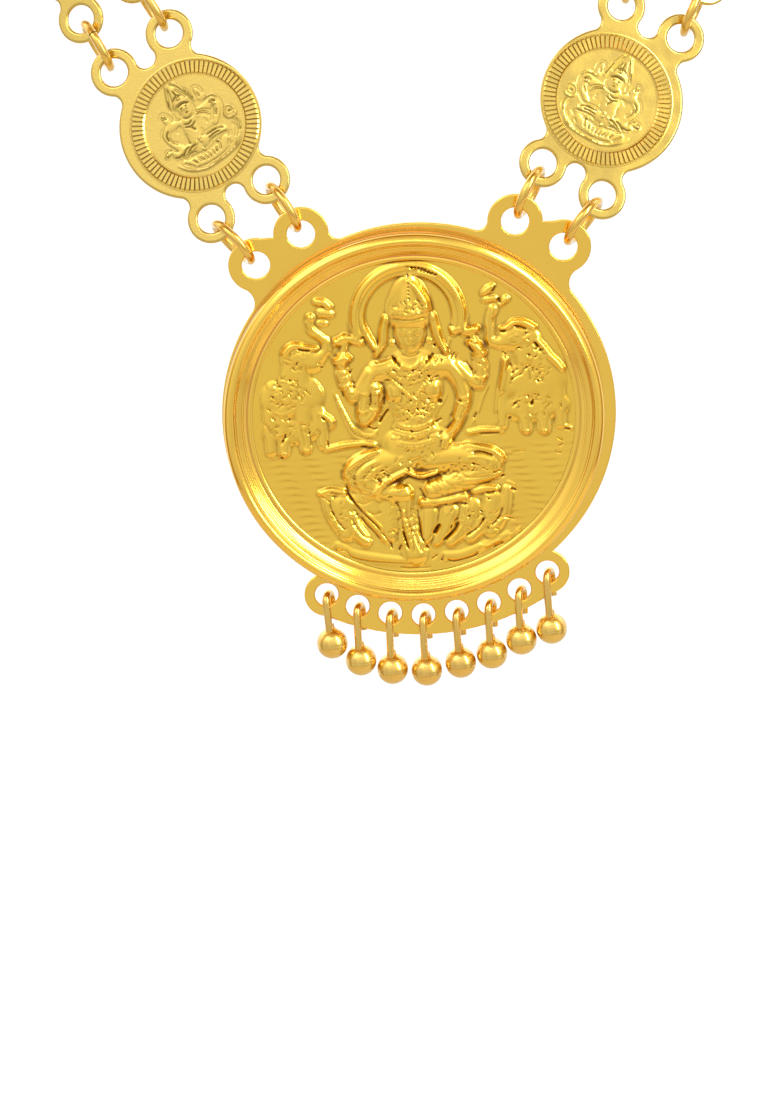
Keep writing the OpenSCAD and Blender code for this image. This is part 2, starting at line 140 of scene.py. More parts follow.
def row_frame(s, along):
    """Origin and axes on the right row: x across it, outwards, y along it to the nape, z outwards."""
    flat = np.array([s * math.sin(ROW_SLOPE), FRONT_SLANT - s * math.cos(ROW_SLOPE)])
    slant, fan = np.linalg.norm(flat), math.atan2(*flat)
    azimuth, turn = fan / CONE_SIN, ROW_SLOPE + fan
    radial = np.array([math.sin(azimuth), -math.cos(azimuth), 0])
    around = np.array([math.cos(azimuth), math.sin(azimuth), 0])
    up = np.array([0, 0, 1.0])
    out = CONE_COS * radial + CONE_SIN * up
    ahead = math.sin(turn) * around + math.cos(turn) * (CONE_COS * up - CONE_SIN * radial)
    inset = (along * math.sin(turn)) ** 2 * CONE_COS / (2 * slant * CONE_SIN)
    origin = slant * (CONE_SIN * radial - CONE_COS * up) - inset * out
    return [origin, np.cross(ahead, out), ahead, out]


def spot(place, x, y, z=0.0):
    """A point given in a piece's own millimetres."""
    return place[0] + x * place[1] + y * place[2] + z * place[3]


tip = -spot(row_frame(HALF_LOOP, CLASP_ALONG), 0, 0, -COIN_T / 2)
coin_places = [row_frame(FIRST_COIN + COIN_PITCH * k, EAR_ALONG) for k in range(COINS)]
clasp_place = row_frame(HALF_LOOP, CLASP_ALONG)
for place in coin_places + [clasp_place]:
    place[0] = place[0] + tip
medal_middle = tip + [0, MEDAL_BACK - FRONT_SLANT * CONE_SIN, MEDAL_UP - FRONT_SLANT * CONE_COS]
medal_place = [medal_middle, np.array([1.0, 0, 0]), np.array([0, 0, 1.0]), np.array([0, -1.0, 0])]
print("medal's middle, in millimetres:", medal_middle.round(3))

# %% [markdown]
# ## The camera
# The photograph looks down at the medal by about 16 degrees, from far away, and is turned by a few
# degrees. The medal's middle is at a known pixel and its width gives the size of a pixel there.

# %% Camera
PHOTO_W, PHOTO_H, PIXEL_MM = 780, 1108, 0.1114
MEDAL_PX = (419.06, 412.55)
ELEVATION, ROLL, DISTANCE = math.radians(16.07), math.radians(3.467), 1.6
level_right = Vector((1, 0, 0))
level_up = Vector((0, math.sin(ELEVATION), math.cos(ELEVATION)))
back = Vector((0, -math.cos(ELEVATION), math.sin(ELEVATION)))
right = math.cos(ROLL) * level_right - math.sin(ROLL) * level_up
up = math.sin(ROLL) * level_right + math.cos(ROLL) * level_up
pixel = PIXEL_MM / 1000
off_right, off_up = MEDAL_PX[0] - PHOTO_W / 2, PHOTO_H / 2 - MEDAL_PX[1]
aim = Vector(medal_middle) / 1000 - right * off_right * pixel - up * off_up * pixel
lens = bpy.data.cameras.new("camera")
lens.sensor_width = 36
lens.lens = lens.sensor_width * DISTANCE / (PHOTO_H * pixel)
lens.clip_start, lens.clip_end = 0.01, 50
camera = added("camera", lens)
camera_turn = Matrix((right, up, back)).transposed().to_4x4()
camera.matrix_world = Matrix.Translation(aim + back * DISTANCE) @ camera_turn
bpy.context.scene.camera = camera
print("lens", round(lens.lens), "mm at", DISTANCE, "m")

# %% [markdown]
# ## Gold plating
# All of it is brass with a thin bright layer of high-karat gold. Gold has no colour of its own but
# that of its reflections, so the finishes differ in how evenly they reflect: stamped field, satin
# coin, drawn wire, tumbled ball. A clear lacquer guards the plating and lays a white glint over the
# yellow one. The crevices and the fine lines of the stampings get a painted shade, a dark colour
# that is also rough and has no lacquer, so it stays dark in any light. One function makes all
# finishes. It takes the colour where the plating is thick and where it is thin, the roughness, the
# size and depth of the fine grain, and the colour of the painted shade.

# %% The finishes
DRIFT_SCALE, RUB_SCALE = 160.0, 420.0  # waves in a metre
LACQUER = {"Coat Weight": 1.0, "Coat IOR": 1.65, "Coat Roughness": 0.09}
SHADED_ROUGHNESS = 0.4


def gold_plating(name, pale, deep, roughness, grain_mm, grain_depth_mm, streak=1.0, painted_shade="#6B430C", matt=0.0):
    """One finish. Streak stretches the grain. The painted shade colour goes where a piece marks painted
    shade, and matt makes those places rough and takes their lacquer away.
    """
    material = bpy.data.materials.new(name)
    material.use_nodes = True
    tree = material.node_tree
    tree.nodes.clear()
    place = put(tree, "ShaderNodeTexCoord").outputs["Object"]
    # thick and thin plating drifts over some millimetres
    cloud = put(tree, "ShaderNodeTexNoise", {"Vector": place, "Scale": DRIFT_SCALE, "Detail": 3.0})
    colour = put(tree, "ShaderNodeMix", {"Factor": cloud, 6: linear(pale), 7: linear(deep)}, data_type="RGBA")
    # painted shade, where a piece has it marked: darkening in its crevices and along its lines
    hollow = put(tree, "ShaderNodeAttribute", attribute_name="hollow").outputs["Fac"]
    with_painted_shade = put(tree, "ShaderNodeMix", {"Factor": hollow, 6: colour.outputs[2], 7: linear(painted_shade)},
                 data_type="RGBA")
    # rubbed and less rubbed patches
    rub = put(tree, "ShaderNodeTexNoise", {"Vector": place, "Scale": RUB_SCALE, "Detail": 4.0})
    rough = put(tree, "ShaderNodeMapRange", {"Value": rub, "From Min": 0.3, "From Max": 0.7,
                                             "To Min": roughness * 0.8, "To Max": roughness * 1.25})
    # the skin of the stamped metal
    stretch = put(tree, "ShaderNodeMapping", {"Vector": place, "Scale": (1 / streak, 1, 1)})
    grain = put(tree, "ShaderNodeTexNoise", {"Vector": stretch, "Scale": 1000 / grain_mm, "Detail": 2.0})
    bump = put(tree, "ShaderNodeBump", {"Height": grain, "Distance": grain_depth_mm / 1000, "Strength": 1.0})
    metal = put(tree, "ShaderNodeBsdfPrincipled", {"Base Color": with_painted_shade.outputs[2], "Metallic": 1.0,
                                                   "Roughness": rough, "Normal": bump, **LACQUER})
    # where shade is painted, matt makes the surface rougher and without lacquer, so the painted shade takes
    # no glint
    if matt:
        shaded_share = put(tree, "ShaderNodeMath", {0: hollow, 1: matt}, operation="MULTIPLY")
        rougher = put(tree, "ShaderNodeMath", {0: shaded_share, 1: SHADED_ROUGHNESS, 2: rough},
                      operation="MULTIPLY_ADD")
        bare = put(tree, "ShaderNodeMath", {0: 1.0, 1: shaded_share}, operation="SUBTRACT")
        tree.links.new(rougher.outputs[0], metal.inputs["Roughness"])
        tree.links.new(bare.outputs[0], metal.inputs["Coat Weight"])
    put(tree, "ShaderNodeOutputMaterial", {"Surface": metal})
    return material


# the last colour given is the painted shade: the default dark brown in the field's crevices, orange on the
# rim, olive on the coins
field_gold = gold_plating("gold_plated_stamped_brass", "#F8CB30", "#F4BF24", 0.18, 0.35, 0.004, 3.5, matt=0.8)
rim_gold = gold_plating("gold_plated_turned_brass", "#F9CC3C", "#F4C030", 0.18, 0.6, 0.002, painted_shade="#D07C10")
coin_gold = gold_plating("gold_plated_satin_brass", "#D4B449", "#CFAD43", 0.24, 0.28, 0.008,
                         painted_shade="#5C470F", matt=1.0)
wire_gold = gold_plating("gold_plated_brass_wire", "#EAC24D", "#E4B23C", 0.24, 0.5, 0.004, 3.0)
ball_gold = gold_plating("gold_plated_brass_balls", "#E7C353", "#E0AE45", 0.28, 0.3, 0.007)
print("finishes:", [m.name for m in bpy.data.materials])

# %% [markdown]
# ## Relief from strokes
# A stamped relief is a height above a flat field. It is drawn as a modeller builds it in wax: round
# limbs that taper, laid side by side so that they blend where they meet, then fine lines and beads
# that are added or cut. A stroke's height falls off across it, so the surface is a sum of simple
# rules, taken at points on close rings. Each ring has six more points than the one inside it, which
# keeps the triangles alike from the middle to the edge. In the tables, a row gives the sizes that
# some strokes share and then the corners of each, one after another in a list.


# %% Strokes
def along_path(p, path):
    """For each point: its distance to a path of (x, y) corners, and how far along the path that is.

    With corners of (x, y, radius), the distance is in radii."""
    steps = np.linalg.norm(np.diff(path[:, :2], axis=0), axis=1)
    run = np.concatenate([[0], np.cumsum(steps)])
    best = np.full(len(p), 1e9)
    where = np.zeros(len(p))
    for k in range(len(steps)):
        a, b = path[k], path[k + 1]
        d = b[:2] - a[:2]
        t = np.clip((p - a[:2]) @ d / max(d @ d, 1e-9), 0, 1)
        off = np.linalg.norm(p - a[:2] - t[:, None] * d, axis=1)
        if path.shape[1] > 2:
            off = off / (a[2] + (b[2] - a[2]) * t)
        closer = off < best
        best[closer] = off[closer]
        where[closer] = (run[k] + t * steps[k])[closer]
    return best, where / run[-1]


def near(points, path, reach):
    """Which points are in the box round a path."""
    low, high = path[:, :2].min(0) - reach, path[:, :2].max(0) + reach
    return np.all((points > low) & (points < high), axis=1)


def raise_limb(points, height, path, top, softness, power=0.6):
    """Blends a tapering round limb, given as corners (x, y, radius), into the heights."""
    some = near(points, path, path[:, 2].max())
    if not some.any():
        return
    off, _ = along_path(points[some], path)
    limb = top * (1 - np.minimum(off, 1) ** 2) ** power
    old = height[some]
    blend = np.maximum(softness - np.abs(old - limb), 0) ** 2 / (4 * softness)
    height[some] = np.where(limb > 0, np.maximum(old, limb) + blend * np.minimum(limb / softness, 1), old)


def draw_line(points, height, path, width, depth, taper=0.12):
    """Adds a fine raised line, or cuts one where depth is negative, that thins out at both ends."""
    some = near(points, path, 3 * width)
    if not some.any():
        return
    off, where = along_path(points[some], path)
    ends = np.clip(np.minimum(where, 1 - where) / taper, 0, 1) ** 0.5 if taper else 1
    height[some] += depth * np.exp(-(off / width) ** 2) * ends


def set_bead(points, height, x, y, r, top):
    """Adds a round bead on what is there."""
    some = near(points, np.array([(x, y)]), r)
    off = np.linalg.norm(points[some] - [x, y], axis=1) / r
    height[some] += top * np.sqrt(np.maximum(1 - off ** 2, 0))


def rounded_off(height, faces, passes):
    """Averages each height with its neighbours', as sheet does over a punch."""
    tris = np.array(faces)
    starts = np.concatenate([tris[:, 0], tris[:, 1], tris[:, 2]])
    ends = np.concatenate([tris[:, 1], tris[:, 2], tris[:, 0]])
    count = np.bincount(starts, minlength=len(height)) + np.bincount(ends, minlength=len(height))
    for _ in range(passes):
        total = np.bincount(starts, height[ends], len(height))
        total += np.bincount(ends, height[starts], len(height))
        height = (height + total / count) / 2
    return height


def smooth_path(path, steps=5):
    """A Catmull-Rom curve through the corners of a path."""
    path = np.array(path, float)
    if len(path) < 3:
        return path
    ends = np.vstack([2 * path[0] - path[1], path, 2 * path[-1] - path[-2]])
    out = []
    for k in range(len(path) - 1):
        a, b, c, d = ends[k:k + 4]
        for t in np.arange(steps) / steps:
            out.append(0.5 * (2 * b + (c - a) * t + (2 * a - 5 * b + 4 * c - d) * t ** 2
                              + (3 * b - a - 3 * c + d) * t ** 3))
    return np.array(out + [path[-1]])


def strokes(table, size, steps=5):
    """Goes through a table: the values that a row's strokes share, and the curve of each stroke."""
    for row in table:
        shared = [value for value in row if not isinstance(value, list)]
        for corners in row[len(shared):]:
            yield *shared, smooth_path(np.reshape(corners, (-1, size)), steps)


def ring_points(radii):
    """Points on rings of the given radii round a middle point, the triangles between them, and where
    the last ring starts."""
    def first(ring):
        return 3 * ring * (ring - 1) + 1 if ring else 0

    def at(ring, j):
        return first(ring) + (j % (6 * ring) if ring else 0)

    points, faces = [(0.0, 0.0)], []
    for k, radius in enumerate(radii, 1):
        angles = 2 * math.pi * np.arange(6 * k) / (6 * k)
        points += list(zip(radius * np.cos(angles), radius * np.sin(angles)))
        for sixth in range(6):
            for j in range(k):
                outer, inner = sixth * k + j, sixth * (k - 1) + j
                faces.append((at(k, outer), at(k, outer + 1), at(k - 1, inner)))
                if j < k - 1:
                    faces.append((at(k, outer + 1), at(k - 1, inner + 1), at(k - 1, inner)))
    return np.array(points), faces, first(len(radii))


# %% [markdown]
# ## The medal's relief
# The stamped disc shows a seated goddess with four arms on a lotus, with an arch of light behind the
# head and an elephant on a shore at each side. Her face is a plain, calm one. All places are in
# millimetres from the disc's middle. The first table has the round forms, the second the fine lines,
# and the others beads, strings of beads and the patches of small marks that stand for ornament.

# %% Round forms of the relief
LIMBS = [  # height, strokes of (x, y, radius)
    # crown, head, hair and neck
    (0.84, [0.1, 10.1, 1.75, 0.1, 8.9, 1.5, 0.1, 8.1, 0.95]),
    (0.6, [2.7, 11.6, 0.45, 2.95, 10, 0.55, 3.3, 8.8, 0.5, 4, 7.2, 0.35],
     [-2.5, 11.6, 0.45, -2.85, 10, 0.55, -3, 8.7, 0.5, -3.8, 7.4, 0.35]),
    (0.62, [0.05, 7.8, 1.15, 0, 6.4, 1.35]),
    # shoulders, chest, waist and hips
    (0.72, [-3.7, 5.5, 1.35, 0, 5.9, 1.2, 3.9, 5.6, 1.35]),
    (0.78, [0.1, 4.6, 3.5, 0.1, 2, 2.9, 0.1, -0.4, 2.4, 0, -1.9, 2.7]),
    (0.85, [-1.75, 3.3, 1.35, -1.75, 2.9, 1.35], [2, 3.3, 1.35, 2, 2.9, 1.35]),
    (0.8, [-1.6, -3.4, 2.3, 0, -3.8, 2.6, 2, -3.4, 2.3]),
    # arms with the blessing and the giving hand
    (0.72, [-4.4, 5.2, 1.05, -5.1, 3.4, 0.95, -5.5, 1.4, 0.9, -5.6, 0.1, 0.85]),
    (0.8, [-5.5, -0.1, 0.8, -4.6, 0.8, 0.8, -4.2, 1.8, 0.75]),
    (0.9, [-4.2, 2.2, 0.85, -4.15, 3.3, 0.95, -4.2, 3.9, 0.6]),
    (0.72, [4.5, 5.3, 1.1, 5.3, 3.9, 1, 5.7, 2.2, 0.95, 5.5, 0.9, 0.9]),
    (0.8, [5.4, 0.8, 0.85, 4.7, -0.9, 0.75, 3.9, -2.2, 0.65]),
    (0.92, [3.6, -2.6, 0.65, 3.1, -3.4, 0.75]),
    # the raised arms behind, with a lotus in each hand
    (0.55, [-4.8, 5.1, 0.8, -6, 3.2, 0.75, -6.7, 2.6, 0.7],
     [-6.7, 2.7, 0.65, -7.4, 4.2, 0.75, -7.7, 5.6, 0.85]),
    (0.68, [-7.8, 6.2, 0.6, -7.5, 7.3, 0.8]),
    (0.55, [5, 5.5, 0.85, 6.3, 4.1, 0.75, 7.2, 3.4, 0.7], [7.5, 3.4, 0.7, 7.7, 4.8, 0.85, 7.6, 6.2, 0.8]),
    (0.7, [7.5, 6.8, 0.6, 7.4, 7.7, 0.8]),
    (0.5, [-7.5, 7.8, 0.3, -7.2, 8.8, 0.3]),
    (0.75, [-8.2, 7, 0.5, -7.5, 7.3, 0.6, -6.9, 7.2, 0.4]),
    (0.54, [-8.1, 9.1, 0.6, -7.1, 9.5, 0.7]),
    (0.5, [-6.4, 9.4, 0.65, -5.5, 9, 0.5], [4.9, 9.6, 0.45, 5.7, 9.9, 0.6]),
    (0.54, [6.4, 9.5, 0.7, 7.4, 9.7, 0.6]),
    (0.85, [6.7, 8.2, 0.45, 7.4, 7.7, 0.7, 8.1, 6.9, 0.45]),
    (0.5, [-5.2, 12.3, 0.12, -5.08, 11, 0.3, -4.6, 9.6, 0.42, -3.9, 8.3, 0.35],
     [7.4, 8.2, 0.3, 6.9, 9.2, 0.3]),
    # crossed legs: knees, shins, feet. The row at x 0.7 is the ridge down the crown's side.
    (0.92, [-1.6, -5, 1.9, -4.6, -5.6, 2.1, -6, -6.6, 1.9]),
    (0.5, [-4.2, -3.7, 0.4, -5.6, -4.15, 0.65, -7.05, -5, 0.7, -7.9, -6.2, 0.45],
     [4.7, -3.85, 0.4, 6.6, -4.15, 0.65, 8.4, -4.6, 0.7, 9.5, -5.4, 0.45]),
    (1.16, [0.7, 15.5, 0.35, 1.25, 14.6, 0.6, 1.8, 13.4, 0.75, 2.1, 12.5, 0.6]),
    (0.85, [-6.2, -7, 1.7, -4.2, -8.3, 1.4, -1.6, -8.8, 1.1]),
    (0.92, [1.8, -5, 1.8, 5.2, -5.1, 1.8, 8, -5.8, 1.7]),
    (0.85, [8.1, -6.4, 1.5, 5, -7.6, 1.4, 1.6, -8.6, 1.2]),
    (0.75, [0.5, -9.9, 0.65, 2.4, -9.9, 0.6, 4.3, -9.6, 0.55, 5.2, -9.6, 0.5]),
    # the cloth that falls in front and under the knees
    (0.6, [-1.6, -9.2, 1, -1.7, -11.5, 0.9, -1.3, -14.2, 1.2, -0.8, -15.8, 1.5]),
    (0.46, [-5.9, -9.2, 1.6, -5, -11.2, 1.3, -3.7, -13.6, 0.9]),
    (0.44, [-3.6, -10, 1.2, -3.2, -12.6, 0.8]),
    (1.22, [-4.9, -8.4, 0.45, -3.9, -7.4, 0.6, -2.5, -6.6, 0.6, -1.2, -6.1, 0.55, -0.4, -6.5, 0.4]),
    (1.18, [-0.4, -6.5, 0.4, 0.6, -6.7, 0.5, 2.1, -6.4, 0.4]),
    # lotus seat
    (0.44, [1.1, -11.2, 0.95, 0.8, -13.4, 0.8, 0.4, -14.6, 0.4]),
    (0.46, [3.3, -11.2, 1.05, 2.6, -13.2, 0.9, 1.7, -14.7, 0.5],
     [5.8, -10.9, 1.2, 5, -13, 1, 3.3, -14.7, 0.6]),
    (0.44, [8.2, -10, 1.05, 7.3, -12.3, 1, 5.6, -14.3, 0.7]),
    (0.4, [9.9, -9, 0.6, 9.2, -11.5, 0.9, 7.9, -13.8, 0.8]),
    (0.44, [-8.5, -9.6, 1.1, -7.7, -12, 1, -6.2, -14, 0.7]),
    (0.38, [-10.3, -8.6, 0.7, -9.6, -10.8, 0.9, -8.3, -13.2, 0.8]),
    (0.5, [6.3, -9, 0.45, 7.6, -8.7, 0.45, 8.7, -8.8, 0.35],
     [-10.9, -8.2, 0.35, -9.8, -7.95, 0.45, -8.3, -8.3, 0.4]),
    # the lotus's base and the shore
    (0.26, [-9.3, -14.4, 0.55, -7.6, -15.5, 0.6, -4.8, -16.2, 0.6, -1.6, -16.7, 0.5],
     [2.6, -16.3, 0.55, 4.4, -16.3, 0.6, 6.6, -15.5, 0.55, 9.6, -14.3, 0.5]),
    (0.4, [-9.9, -3.15, 0.35, -8, -2.8, 0.4, -6, -2.7, 0.35, -4.6, -2.9, 0.3]),
    (0.38, [6, -2.15, 0.3, 7.6, -1.95, 0.35, 9.6, -2.1, 0.3]),
    (0.3, [15.9, -2, 0.2, 17.3, -2.3, 0.25]),
    # left elephant: body, head, trunk, pot, legs
    (0.42, [-15, 3, 2.1, -13.4, 2.9, 2.5, -11.9, 3.1, 2.2]),
    (0.44, [-12.9, 6.2, 1.7, -13.2, 4.2, 2]),
    (0.46, [-13.3, 7.5, 1.2, -12.3, 7.4, 1.6, -11, 7, 1.3]),
    (0.6, [-14, 8.2, 0.4, -13.3, 8.9, 0.45, -12.5, 9.05, 0.45, -11.7, 8.75, 0.4, -10.4, 8.55, 0.3]),
    (0.42, [-10.2, 7.4, 0.75, -9.4, 8.2, 0.5, -9.35, 9.2, 0.45, -9.9, 9.9, 0.45, -10.7, 10.5, 0.5,
     -11, 11.4, 0.5, -10.8, 12.1, 0.55]),
    (0.5, [-10, 13.9, 0.45, -9.3, 13.7, 0.55, -8.7, 13.3, 0.4]),
    (0.42, [-9.6, 12.6, 0.55, -8.7, 12.4, 0.5]),
    (0.36, [-9.9, 11.4, 0.35, -9.3, 11.4, 0.35]),
    (0.32, [-15.9, -0.8, 1.2, -13.2, -0.9, 1.6, -10.6, -0.6, 1.1]),
    (0.36, [-15.9, 1.4, 1, -16.1, -0.8, 0.7, -16.1, -3, 0.65]),
    (0.42, [-14.7, 1.4, 1.1, -14.6, -1, 0.85, -14.7, -3.1, 0.75],
     [-12.3, 1.4, 1.1, -12.3, -1, 0.8, -12.2, -2.9, 0.7]),
    (0.34, [-10.7, 1.2, 0.9, -10.4, -0.8, 0.75, -10.3, -2.6, 0.6]),
    (0.5, [-10.5, 1, 0.3, -9.9, 0.75, 0.35, -9.3, 0.2, 0.35, -9.15, -0.6, 0.3]),
    # right elephant: body, head, back, trunk, pot, legs
    (0.42, [11.6, 3.2, 2, 13.2, 3, 2.5, 14.8, 3.2, 2.4]),
    (0.44, [13.2, 6.8, 1.8, 14, 4.8, 2.2]),
    (0.46, [11.1, 8.2, 1.2, 12.2, 8.4, 1.6, 13.3, 8.2, 1.3]),
    (0.6, [10.2, 9.6, 0.25, 10.9, 9.75, 0.35, 11.6, 10.2, 0.45, 12.4, 10.25, 0.45, 13.3, 9.9, 0.4,
     13.9, 9.5, 0.35]),
    (0.54, [14.2, 8, 0.35, 14.8, 7.2, 0.4, 15.4, 6.2, 0.45, 16.2, 5.3, 0.45, 16.8, 4.5, 0.35]),
    (0.46, [10.5, 6, 0.35, 10.3, 4.6, 0.4, 10, 2.6, 0.6]),
    (0.42, [10, 7.9, 0.7, 9, 8.3, 0.5, 8.95, 9.6, 0.5, 9.1, 10.9, 0.5, 9.5, 11.9, 0.55]),
    (0.5, [8.6, 13.8, 0.4, 9.1, 14.2, 0.5, 9.5, 14.5, 0.35]),
    (0.38, [8.7, 13, 0.4, 9.7, 13.1, 0.4]),
    (0.46, [10.4, 12.4, 0.3, 11, 13, 0.4]),
    (0.33, [10.4, 0.4, 1.3, 13.2, 0.2, 1.7, 16.2, 0.4, 1.3]),
    (0.36, [16, 2, 1, 16.3, 0, 0.7, 16.3, -1.8, 0.55]),
    (0.42, [14.5, 1.6, 1.1, 14.4, -0.6, 0.85, 14.4, -2.2, 0.75],
     [12.2, 1.6, 1.1, 12.3, -0.6, 0.8, 12.4, -2.1, 0.7]),
    (0.36, [10.1, 2.4, 0.8, 9.8, 0.4, 0.75, 9.8, -1.5, 0.55]),
]

